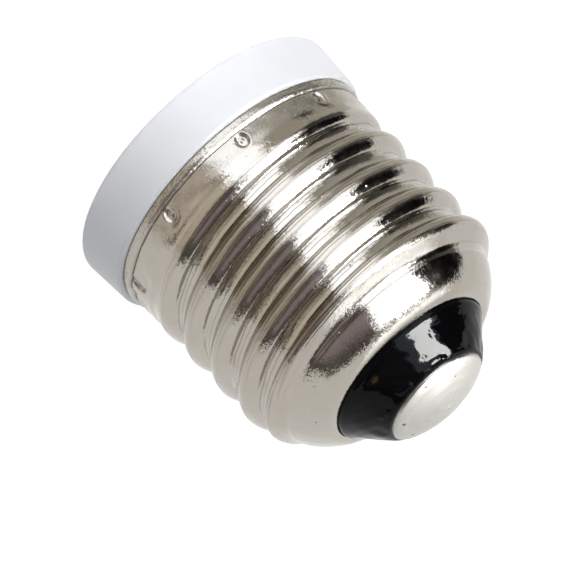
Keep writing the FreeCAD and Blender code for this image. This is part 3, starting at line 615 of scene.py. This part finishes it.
shoulder_inside = arc_points(
    SHOULDER_CENTRE, SHOULDER_ARC - GLASS_GAP, np.linspace(shoulder_lean, lip_lean, ARC_STEPS + 1)
)
lip_inside = arc_points(
    lip_centre, LIP_ROLL - GLASS_GAP, np.linspace(lip_lean, math.pi / 2, ARC_STEPS + 1)[1:]
)
glass_rows = outline_rows(
    [GLASS_LEDGE, GLASS_FUNNEL, (shoulder_inside[0][0], GLASS_FUNNEL[1])]
    + shoulder_inside
    + lip_inside
    + [(GLASS_NECK, lip_inside[-1][1])]
    + [(GLASS_NECK + outward, lip_top + up) for outward, up in GLASS_COLLAR]
    + [GLASS_CONE_FOOT]
    + [(GLASS_TOP[0] + outward, GLASS_TOP[1] + up) for outward, up in GLASS_EDGE]
    + [(GLASS_HOLE, GLASS_TOP[1]), (GLASS_HOLE, GLASS_LEDGE[1])],
    GLASS_STEPS,
)
glass_turns, glass_radii, glass_heights = spun(glass_rows, GLASS_COLUMNS)
cone_share = (glass_heights - GLASS_CONE_FOOT[1]) / (GLASS_TOP[1] - GLASS_CONE_FOOT[1])
on_cone = eased(cone_share / CONE_START) * eased((CONE_END[0] - cone_share) / CONE_END[1])
on_cone = on_cone * (glass_radii > CONE_INNER)
pouring = waviness(glass_turns, glass_heights, POURING_WAVES)
runs = hill(cone_share - RUNS_PLACE[0], RUNS_PLACE[1]) * waviness(glass_turns, 0, RUN_WAVES)
glass_radii = glass_radii + on_cone * (pouring + runs - CONE_SHRINK)

# Drops and bubbles that set while the glass was soft.
for turn, height, across, upward, rise in GLASS_DROPS:
    aside = way_round(glass_turns, turn, glass_radii)
    near_by = hill(np.hypot(aside / across, (glass_heights - height) / upward), 1.0)
    glass_radii = glass_radii + rise * on_cone * near_by * (1 - DROP_FLATNESS * near_by)
glass_amber = np.zeros_like(glass_radii)
for turn, height, size in GLASS_BUBBLES:
    aside = way_round(glass_turns, turn, glass_radii)
    away = np.hypot(aside, (glass_heights - height) * BUBBLE_FLATNESS)
    glass_amber += hill(away, size) * on_cone
glass = ring_mesh("black_glass_cone", glass_radii, glass_heights, glass_turns)
keep_values(glass, "amber", np.minimum(glass_amber, 1))

tree, shader = new_material("black_glass", glass, IOR=1.19)
place = millimetres(tree)
smear = placed(tree, patches, place, Size=1.4, Edge=0.2, Cover=0.4)
dust = placed(tree, specks, place, Gap=0.9, Size=0.1, Cover=0.25)
veined = placed(tree, patches, place, Size=0.3, Edge=0.15, Cover=0.5, Seed=2.0)
colour = mixed(tree, sums(tree, "MULTIPLY", kept(tree, "amber"), veined), GLASS_BLACK, GLASS_AMBER)
tree.links.new(mixed(tree, dust, colour, DUST), shader.inputs["Base Color"])
rough = sums(tree, "MULTIPLY_ADD", smear, 0.08, 0.05)
tree.links.new(sums(tree, "MULTIPLY_ADD", dust, 0.5, rough), shader.inputs["Roughness"])
ripple = placed(tree, grain, place, Size=1.1)
bump(tree, shader, ripple, 0.02)

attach(glass, "adapter")
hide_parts("glass_insulator")


# End contact: a domed cap with a hollow stem through the glass, clenched over its ledge below and
# filled with solder round the centre lead. Its tinned face is satin, with a smoother edge that is
# painted paler as a highlight.

CONTACT_RADIUS = 5.0
CONTACT_SEAT = 31.0
CONTACT_TOP = 32.6
CONTACT_DOME = 9.93
CONTACT_SHEET = 0.4
STEM_RADIUS = 1.5
STEM_BORE = 1.0
STEM_FLANGE = (2.4, 27.7, 28.0)
SOLDER_FACE = 31.5
FACE_RADII = (0.1, 1, 2, 3, 4, 4.6, 4.82)
EDGE_RADIUS = 4.93
UNDER_RADIUS = 3.0
# Steps to each side of the outline, from the middle of the face round to the solder.
CONTACT_STEPS = [5, 5, 5, 5, 4, 2, 2, 2, 3, 2, 2, 3, 3, 2, 2, 1, 2, 2, 2]
CONTACT_COLUMNS = 240

# Heights above which the cap was trimmed, and pressed.
TRIMMED_ABOVE = 31.02
PRESSED_ABOVE = 31.7
# Radius where the trimmed edge's waves start, and over what width they grow.
TRIM_FADE = (3.6, 1.4)
TRIM_SHRINK = 0.055
PRESS_SINK = 0.03
# Half width of the rim that carries the painted highlight.
EDGE_HALF = 0.16
# Height, waves a turn, waves a millimetre and shift.
TRIM_WAVES = ((0.03, 2, 0, 1.0), (0.02, 5, 0, 0.2), (0.012, 9, 0, 2.0), (0.006, 23, 0, 1.1))
PRESS_WAVES = ((0.02, 2, 0.12, 0.0), (0.01, 5, 0.3, 1.7))

TIN = (0.37, 0.363, 0.335, 1)
TIN_WORN_AND_HIGHLIT = (0.44, 0.433, 0.405, 1)
PIT = (0.10, 0.095, 0.09, 1)


def dome(radius, arc):
    """Height of the contact's dome at a radius; the arc is that of its face or its underside."""
    return CONTACT_TOP - CONTACT_DOME + math.sqrt(arc ** 2 - radius ** 2)


under = CONTACT_DOME - CONTACT_SHEET
under_edge = CONTACT_RADIUS - CONTACT_SHEET
edge_height = dome(EDGE_RADIUS - 0.01, CONTACT_DOME)
contact_rows = outline_rows(
    [(r, dome(r, CONTACT_DOME)) for r in FACE_RADII]
    + [
        (EDGE_RADIUS, edge_height - 0.03),
        (CONTACT_RADIUS - 0.01, edge_height - 0.1),
        (CONTACT_RADIUS - 0.02, CONTACT_SEAT),
        (under_edge, CONTACT_SEAT),
    ]
    + [(r, dome(r, under)) for r in (under_edge, UNDER_RADIUS, STEM_RADIUS)]
    + [
        (STEM_RADIUS, STEM_FLANGE[2]),
        (STEM_FLANGE[0], STEM_FLANGE[2]),
        (STEM_FLANGE[0], STEM_FLANGE[1]),
        (STEM_BORE, STEM_FLANGE[1]),
        (STEM_BORE, SOLDER_FACE),
        (FACE_RADII[0], SOLDER_FACE),
    ],
    CONTACT_STEPS,
)
contact_turns, contact_radii, contact_heights = spun(contact_rows, CONTACT_COLUMNS)
trimmed = contact_heights > TRIMMED_ABOVE
on_edge = trimmed * eased((contact_radii - TRIM_FADE[0]) / TRIM_FADE[1])
trimming = waviness(contact_turns, 0, TRIM_WAVES)
contact_radii = contact_radii + on_edge * (trimming - TRIM_SHRINK)
pressing = waviness(contact_turns, contact_radii, PRESS_WAVES)
pressed = contact_heights > PRESSED_ABOVE
contact_heights = contact_heights - pressed * (PRESS_SINK + pressing)
contact = ring_mesh(
    "tinned_contact_cap", contact_radii, contact_heights, contact_turns, ends="poles"
)
rim_highlight_share = (hill(contact_radii - EDGE_RADIUS, EDGE_HALF) * trimmed).ravel()
keep_values(contact, "rim_highlight", np.concatenate([rim_highlight_share, [0, 0]]))

tree, shader = new_material("tinned_contact", contact, Metallic=1.0)
place = millimetres(tree)
rubbed = placed(tree, patches, place, Size=2.2, Edge=0.22, Cover=0.5)
pits = placed(tree, specks, place, Gap=0.6, Size=0.24, Cover=0.35)
rim_highlight = kept(tree, "rim_highlight")
# Painted highlight: the rim goes to paler tin, as the real rubbed patches do.
worn_and_highlit = mixed(tree, sums(tree, "MAXIMUM", rubbed, rim_highlight), TIN, TIN_WORN_AND_HIGHLIT)
tree.links.new(mixed(tree, pits, worn_and_highlit, PIT), shader.inputs["Base Color"])
rough = sums(tree, "MULTIPLY_ADD", rubbed, -0.08, 0.54)
tree.links.new(sums(tree, "MULTIPLY_ADD", rim_highlight, -0.2, rough), shader.inputs["Roughness"])
sanded = placed(tree, grain, place, Size=0.16)
bump(tree, shader, sums(tree, "MULTIPLY_ADD", pits, -2.0, sanded), 0.012)

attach(contact, "adapter")
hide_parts("end_contact")


# White moulding: one piece of heat resistant plastic, with the collar, the spigot inside the
# shell's skirt and the barrel that holds the socket. Its surface is satin, with a little dust.

WHITE = (0.82, 0.835, 0.865, 1)
WHITE_SHADE = (0.76, 0.775, 0.81, 1)
SPECK_GREY = (0.32, 0.31, 0.31, 1)

tree, shader = new_material("white_moulding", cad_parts["socket_housing"])
place = millimetres(tree)
cloud = placed(tree, patches, place, Size=5.0, Edge=0.3, Cover=0.5)
dust = placed(tree, specks, place, Gap=1.6, Size=0.14, Cover=0.22)
dust = sums(tree, "MULTIPLY", dust, 0.7)
colour = mixed(tree, cloud, WHITE, WHITE_SHADE)
tree.links.new(mixed(tree, dust, colour, SPECK_GREY), shader.inputs["Base Color"])
rough = sums(tree, "MULTIPLY_ADD", cloud, 0.08, 0.36)
tree.links.new(rough, shader.inputs["Roughness"])
skin = placed(tree, grain, place, Size=0.35)
bump(tree, shader, skin, 0.004)


# Inner screw shell: the nickel plated cup of the socket, rolled to the smaller thread and riveted
# to the barrel's floor. The lamp's own cap rubs its ridges bright.

INNER_NICKEL = (0.60, 0.56, 0.49, 1)
INNER_BROWN = (0.36, 0.29, 0.21, 1)


def plain_metal(name, piece, clean, tarnish, roughness, size):
    """Metal of a hidden piece: clean metal with tarnish in patches, and a fine grain."""
    tree, shader = new_material(name, piece, Metallic=1.0)
    place = millimetres(tree)
    dull = placed(tree, patches, place, Size=size, Edge=0.2, Cover=0.45)
    pits = placed(tree, specks, place, Gap=size * 0.5, Size=0.12, Cover=0.2)
    colour = mixed(tree, sums(tree, "MAXIMUM", dull, pits), clean, tarnish)
    tree.links.new(colour, shader.inputs["Base Color"])
    rough = sums(tree, "MULTIPLY_ADD", dull, 0.15, roughness)
    tree.links.new(rough, shader.inputs["Roughness"])
    bump(tree, shader, placed(tree, grain, place, Size=0.15), 0.006)


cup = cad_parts["inner_screw_shell"]
plain_metal("nickel_inner", cup, INNER_NICKEL, INNER_BROWN, 0.26, 1.8)


# Centre contact spring: a strip of phosphor bronze bent back on itself. Its foot is riveted to the
# boss, and its tongue gives when the lamp's contact presses on it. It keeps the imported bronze.

LEAF_HALF_WIDTH = 1.5
LEAF_SHEET = 0.3
LEAF_FOOT = (-1.9, 19.35)
LEAF_BEND = (2.25, 18.45)
LEAF_BEND_RADIUS = 0.9
LEAF_CROWN = (0.0, 17.16)
LEAF_TIP = (-1.8, 17.62)
LEAF_BEVEL = 0.05
LEAF_END_ROUND = 0.5
# Points of the foot, then steps of the bend and of the tongue.
LEAF_STEPS = (14, 16, 28)
# Height and half width of the bump that the lamp's contact meets.
LEAF_BUMP = (0.06, 0.35)
# Places across the strip, as shares of its half width.
LEAF_ACROSS = (-0.985, -0.5, 0, 0.5, 0.985)

foot_xs = np.linspace(LEAF_FOOT[0], LEAF_BEND[0], LEAF_STEPS[0])
foot = [(x, LEAF_FOOT[1]) for x in foot_xs]
bend_leans = np.linspace(math.pi / 2, -math.pi / 2, LEAF_STEPS[1] + 1)[1:]
bend = arc_points(LEAF_BEND, LEAF_BEND_RADIUS, bend_leans)
tongue_start = bend[-1]
tongue = []
for share in np.linspace(0, 1, LEAF_STEPS[2] + 1)[1:]:
    x = tongue_start[0] + (LEAF_TIP[0] - tongue_start[0]) * share
    to_crown = LEAF_CROWN[1] + (tongue_start[1] - LEAF_CROWN[1]) * max(x, 0) / tongue_start[0]
    past_crown = LEAF_CROWN[1] + (LEAF_TIP[1] - LEAF_CROWN[1]) * max(-x, 0) / -LEAF_TIP[0]
    bumped = LEAF_BUMP[0] * math.exp(-(x / LEAF_BUMP[1]) ** 2)
    tongue.append((x, max(to_crown, past_crown) + bumped))
route = np.array(foot + bend + tongue)
ahead = np.gradient(route, axis=0)
ahead /= np.linalg.norm(ahead, axis=1)[:, None]
aside = np.stack([ahead[:, 1], -ahead[:, 0]], axis=1)

# The strip's section is a flat rectangle with its edges taken off; its two ends are rounded.
half_sheet = LEAF_SHEET / 2
one_side = [(-1, half_sheet - LEAF_BEVEL)]
one_side += [(share, half_sheet) for share in LEAF_ACROSS]
one_side += [(1, half_sheet - LEAF_BEVEL)]
section = one_side + [(-share, -thick) for share, thick in one_side]
lengths = np.concatenate([[0], np.cumsum(np.linalg.norm(np.diff(route, axis=0), axis=1))])
leaf_points = []
for place_on, out_way, run in zip(route, aside, lengths):
    from_end = min(run, lengths[-1] - run) / LEAF_END_ROUND
    narrow = math.sqrt(max(1 - (1 - min(from_end, 1)) ** 2, 0.0))
    half_width = LEAF_HALF_WIDTH - LEAF_END_ROUND * (1 - narrow)
    for sideways, thick in section:
        point = place_on + out_way * thick
        leaf_points.append([point[0], sideways * half_width, point[1]])
span = len(section)
leaf_faces = []
for row in range(len(route) - 1):
    for k in range(span):
        a, b = row * span + k, row * span + (k + 1) % span
        leaf_faces.append([a, b, b + span, a + span])
leaf_faces.append(list(range(span))[::-1])
leaf_faces.append([(len(route) - 1) * span + k for k in range(span)])
leaf = new_piece("bronze_leaf", leaf_points, leaf_faces)
leaf.data.materials.append(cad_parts["centre_contact_spring"].data.materials[0])
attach(leaf, "adapter")
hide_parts("centre_contact_spring")
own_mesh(leaf)


# Rivets and solder tag: brass, set by hand press through the barrel's floor. Two rivets hold the
# inner shell, and the one on the axis holds the spring below the floor and the tag above it. The
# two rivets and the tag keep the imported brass.

BRASS = (0.74, 0.56, 0.28, 1)
BRASS_DARK = (0.42, 0.28, 0.12, 1)

plain_metal("brass_fixings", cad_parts["centre_rivet"], BRASS, BRASS_DARK, 0.28, 1.0)


# Leads: two short bare copper wires inside the adapter. One goes from the tag to the end contact,
# the other from a rivet to the skirt, where it is pinched under the outer shell. That one keeps
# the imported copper.

COPPER = (0.80, 0.42, 0.27, 1)
COPPER_DARK = (0.40, 0.17, 0.09, 1)

plain_metal("copper_lead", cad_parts["centre_lead"], COPPER, COPPER_DARK, 0.3, 0.8)


# Camera: it stands in front, somewhat above the end contact, and is rolled so that the adapter lies
# aslant in the picture with its collar at the upper left.

EYE = Vector((0.00275, -0.4357, 0.1853))
ACROSS = Vector((-0.7215, 0.2520, 0.6450))
TOWARD = Vector((0.0, -0.9315, 0.3639)).normalized()
LENS_LENGTH = 333.15
SENSOR_WIDTH = 36
CLIP_RANGE = (0.01, 10)

across = (ACROSS - TOWARD * ACROSS.dot(TOWARD)).normalized()
upward = TOWARD.cross(across)
turned = Matrix((across, upward, TOWARD)).transposed().to_4x4()
lens = bpy.data.cameras.new("studio_camera")
lens.lens = LENS_LENGTH
lens.sensor_width = SENSOR_WIDTH
lens.clip_start, lens.clip_end = CLIP_RANGE
camera = bpy.data.objects.new("studio_camera", lens)
bpy.context.scene.collection.objects.link(camera)
camera.matrix_world = Matrix.Translation(EYE) @ turned
bpy.context.scene.camera = camera


# Studio: a pale floor and a white room. The metal sees a few cards that only reflections show: a
# long softbox from upper left to lower right with a dark bar before it, black cloth beside it, and
# the dim sides of the room.

MIDDLE = Vector((0, 0, 0.0163))
CARD_ROWS = 13
CARD_COLUMNS = 8

WHITE_CLOTH = (0.92, 0.97, 1.08, 1)
LAMP_WHITE = (1, 1, 0.98, 1)
BAR_BLACK = (0.03, 0.03, 0.03, 1)
PAPER = (0.8, 0.8, 0.8, 1)
PAPER_LIFT = 0.75
ROOM_WHITE = (1, 1, 1, 1)
ROOM_LIGHT = 0.45
FLOOR_HALF = 1500

# The key lamp's sides, power and distance, and its way from the part: across, upward and toward.
KEY_SIDES = (0.5, 0.25)
KEY_POWER = 5.2
KEY_DISTANCE = 0.7
KEY_WAY = (0.30, 0.62, 0.72)


def picture_way(x, y, z):
    """Way in space of a way across, up and toward the camera."""
    return across * x + upward * y + TOWARD * z


def card(name, near, far, distance, material):
    """Curved card between two edges, each a list of places (across, upward).

    A place is where the card would show on a mirror ball in the picture's middle, whose edge is 1.
    """

    def direction(x, y):
        lean = math.sqrt(1 - x * x - y * y)
        return Vector((2 * lean * x, 2 * lean * y, 2 * lean * lean - 1))

    edges = []
    for edge in (near, far):
        ways = [direction(*pair) for pair in edge]
        line = []
        for first, second in zip(ways, ways[1:]):
            for step in range(CARD_COLUMNS):
                line.append(first.lerp(second, step / CARD_COLUMNS).normalized())
        edges.append(line + [ways[-1]])
    points = []
    for row in range(CARD_ROWS):
        for first, second in zip(*edges):
            way = first.lerp(second, row / (CARD_ROWS - 1)).normalized()
            place = MIDDLE + picture_way(*way) * distance
            points.append([c / MM for c in place])
    length = len(edges[0])
    faces = []
    for row in range(CARD_ROWS - 1):
        for k in range(row * length, (row + 1) * length - 1):
            faces.append([k, k + 1, k + length + 1, k + length])
    made = new_piece(name, points, faces)
    keep_values(made, "share", np.repeat(np.linspace(0, 1, CARD_ROWS), length))
    made.data.materials.append(material)
    made.visible_camera = False
    made.visible_diffuse = False
    made.visible_transmission = False
    made.visible_shadow = False


def empty_tree(owner):
    """Empty node tree of a material or world."""
    owner.use_nodes = True
    owner.node_tree.nodes.clear()
    return owner.node_tree


def glow(name, near_colour, far_colour, strength=1.0, bend_at=0.0, folded=False):
    """Emission from one colour to another across a card, or to its middle and back when folded."""
    material = bpy.data.materials.new(name)
    tree = empty_tree(material)
    share = kept(tree, "share")
    if folded:
        share = sums(tree, "PINGPONG", sums(tree, "MULTIPLY", share, 2.0), 1.0)
    share = scaled(tree, share, 0.0, 1.0, bend_at, 1.0)
    colour = mixed(tree, share, near_colour, far_colour)
    light = node(tree, "ShaderNodeEmission", {"Color": colour, "Strength": strength})
    out = node(tree, "ShaderNodeOutputMaterial")
    tree.links.new(light.outputs[0], out.inputs["Surface"])
    return material


def looked_at(tree):
    """1 for rays from the camera, a mirror or glass, and 0 for those that only light a surface."""
    rays = node(tree, "ShaderNodeLightPath").outputs
    mirrored = sums(tree, "MAXIMUM", rays["Is Glossy Ray"], rays["Is Transmission Ray"])
    return sums(tree, "MAXIMUM", rays["Is Camera Ray"], mirrored)


card(
    "softbox_lamp",
    [(0.33, -0.10), (0.43, -0.22)],
    [(0.46, 0.06), (0.59, -0.08)],
    0.50,
    glow("lamp_behind_cloth", LAMP_WHITE, LAMP_WHITE, strength=74.0),
)
card(
    "softbox",
    [(-0.12, 0.24), (0.03, 0.06), (0.17, -0.08), (0.26, -0.20), (0.34, -0.32)],
    [(0.12, 0.48), (0.33, 0.46), (0.42, 0.27), (0.49, 0.09), (0.63, -0.06)],
    0.54,
    glow("softbox_cloth", WHITE_CLOTH, WHITE_CLOTH, strength=2.8),
)
card(
    "softbox_end",
    [(-0.16, 0.20), (-0.28, 0.27), (-0.42, 0.40), (-0.57, 0.57), (-0.70, 0.65)],
    [(0.06, 0.42), (-0.08, 0.50), (-0.20, 0.62), (-0.36, 0.77), (-0.47, 0.84)],
    0.56,
    glow("softbox_end_cloth", WHITE_CLOTH, (0.86, 0.88, 0.92, 1), strength=2.6, bend_at=0.6),
)
card(
    "dark_bar",
    [
        (0.24, 0.50), (0.14, 0.40), (0.03, 0.30), (-0.09, 0.19),
        (-0.25, 0.04), (-0.39, -0.07), (-0.51, -0.14), (-0.60, -0.22),
    ],
    [
        (0.22, 0.53), (0.12, 0.43), (0.01, 0.33), (-0.11, 0.22),
        (-0.27, 0.07), (-0.41, -0.04), (-0.53, -0.11), (-0.62, -0.18),
    ],
    0.49,
    glow("dark_bar", BAR_BLACK, BAR_BLACK),
)
card(
    "black_cloth",
    [(0.44, 0.38), (0.44, 0.26), (0.47, 0.15), (0.54, 0.03), (0.66, -0.08)],
    [(0.62, 0.47), (0.70, 0.42), (0.78, 0.28), (0.81, 0.10), (0.775, -0.06)],
    0.60,
    glow("black_cloth", (0.004, 0.004, 0.004, 1), BAR_BLACK, bend_at=0.8),
)
card(
    "grey_stand",
    [(0.20, 0.56), (0.37, 0.46), (0.50, 0.30)],
    [(0.44, 0.73), (0.60, 0.62), (0.70, 0.44)],
    0.61,
    glow("grey_stand", (0.03, 0.03, 0.028, 1), (0.18, 0.175, 0.16, 1)),
)
card(
    "grey_wall",
    [(-0.20, 0.64), (0.00, 0.48), (0.16, 0.42), (0.40, 0.38)],
    [(-0.40, 0.88), (-0.10, 0.96), (0.24, 0.94), (0.56, 0.74)],
    0.66,
    glow("grey_wall", (0.52, 0.50, 0.45, 1), (0.72, 0.70, 0.64, 1)),
)
card(
    "cream_wall",
    [(0.33, -0.42), (0.45, -0.32), (0.58, -0.19), (0.70, -0.07)],
    [(0.42, -0.66), (0.57, -0.54), (0.68, -0.38), (0.75, -0.16)],
    0.62,
    glow("cream_wall", (2.4, 2.5, 2.7, 1), (1.0, 0.98, 0.93, 1), bend_at=0.15),
)
card(
    "table_edge",
    [(0.32, -0.34), (0.45, -0.23), (0.58, -0.11), (0.69, -0.03)],
    [(0.35, -0.41), (0.47, -0.31), (0.60, -0.18), (0.73, -0.07)],
    0.60,
    glow("table_edge", (0.16, 0.15, 0.135, 1), (0.70, 0.66, 0.60, 1)),
)
card(
    "dark_floor",
    [(0.31, -0.36), (0.16, -0.43), (0.02, -0.44), (-0.14, -0.36), (-0.30, -0.26), (-0.44, -0.20)],
    [(0.33, -0.41), (0.17, -0.51), (0.02, -0.57), (-0.14, -0.51), (-0.33, -0.43), (-0.48, -0.34)],
    0.68,
    glow("dark_floor", (0.22, 0.195, 0.19, 1), (0.075, 0.066, 0.055, 1)),
)
card(
    "violet_wall",
    [(0.02, 0.08), (-0.12, -0.12), (-0.27, -0.32)],
    [(0.34, -0.34), (0.22, -0.42), (0.05, -0.48)],
    0.67,
    glow("violet_wall", (0.05, 0.043, 0.04, 1), (0.42, 0.355, 0.385, 1), folded=True),
)
card(
    "beige_wall",
    [(-0.17, 0.23), (-0.37, 0.00), (-0.53, -0.20)],
    [(-0.42, 0.42), (-0.62, 0.22), (-0.78, 0.00)],
    0.72,
    glow("beige_wall", (0.40, 0.35, 0.30, 1), (1.0, 0.91, 0.80, 1), folded=True),
)
card(
    "brown_wall",
    [(0.00, 0.04), (-0.10, 0.18), (-0.22, 0.34), (-0.38, 0.49), (-0.56, 0.62), (-0.72, 0.64)],
    [(-0.20, -0.45), (-0.40, -0.36), (-0.56, -0.20), (-0.74, -0.02), (-0.86, 0.20), (-0.94, 0.30)],
    0.74,
    glow("brown_wall", (0.12, 0.105, 0.09, 1), (0.46, 0.40, 0.34, 1)),
)

corners = ((-1, -1, 0), (1, -1, 0), (1, 1, 0), (-1, 1, 0))
floor = new_piece("pale_floor", np.array(corners) * FLOOR_HALF, [[0, 1, 2, 3]])
floor_paper = bpy.data.materials.new("floor_paper")
tree = empty_tree(floor_paper)
paper = node(tree, "ShaderNodeBsdfDiffuse", {"Color": PAPER})
lift = sums(tree, "MULTIPLY", looked_at(tree), PAPER_LIFT)
lift = node(tree, "ShaderNodeEmission", {"Strength": lift})
both = node(tree, "ShaderNodeAddShader", {0: paper.outputs[0], 1: lift.outputs[0]})
out = node(tree, "ShaderNodeOutputMaterial")
tree.links.new(both.outputs[0], out.inputs["Surface"])
floor.data.materials.append(floor_paper)
floor.visible_glossy = False

key = bpy.data.lights.new("key_lamp", "AREA")
key.shape = "RECTANGLE"
key.size, key.size_y = KEY_SIDES
key.energy = KEY_POWER
key_lamp = bpy.data.objects.new("key_lamp", key)
bpy.context.scene.collection.objects.link(key_lamp)
key_way = picture_way(*KEY_WAY).normalized()
key_lamp.location = MIDDLE + key_way * KEY_DISTANCE
key_lamp.rotation_euler = key_way.to_track_quat("Z", "Y").to_euler()
key_lamp.visible_glossy = False

world = bpy.data.worlds.new("white_room")
bpy.context.scene.world = world
tree = empty_tree(world)
strength = scaled(tree, looked_at(tree), ROOM_LIGHT, 1.0)
sky = node(tree, "ShaderNodeBackground", {"Color": ROOM_WHITE, "Strength": strength})
out = node(tree, "ShaderNodeOutputWorld")
tree.links.new(sky.outputs[0], out.inputs["Surface"])

bpy.context.scene.view_settings.view_transform = "Standard"
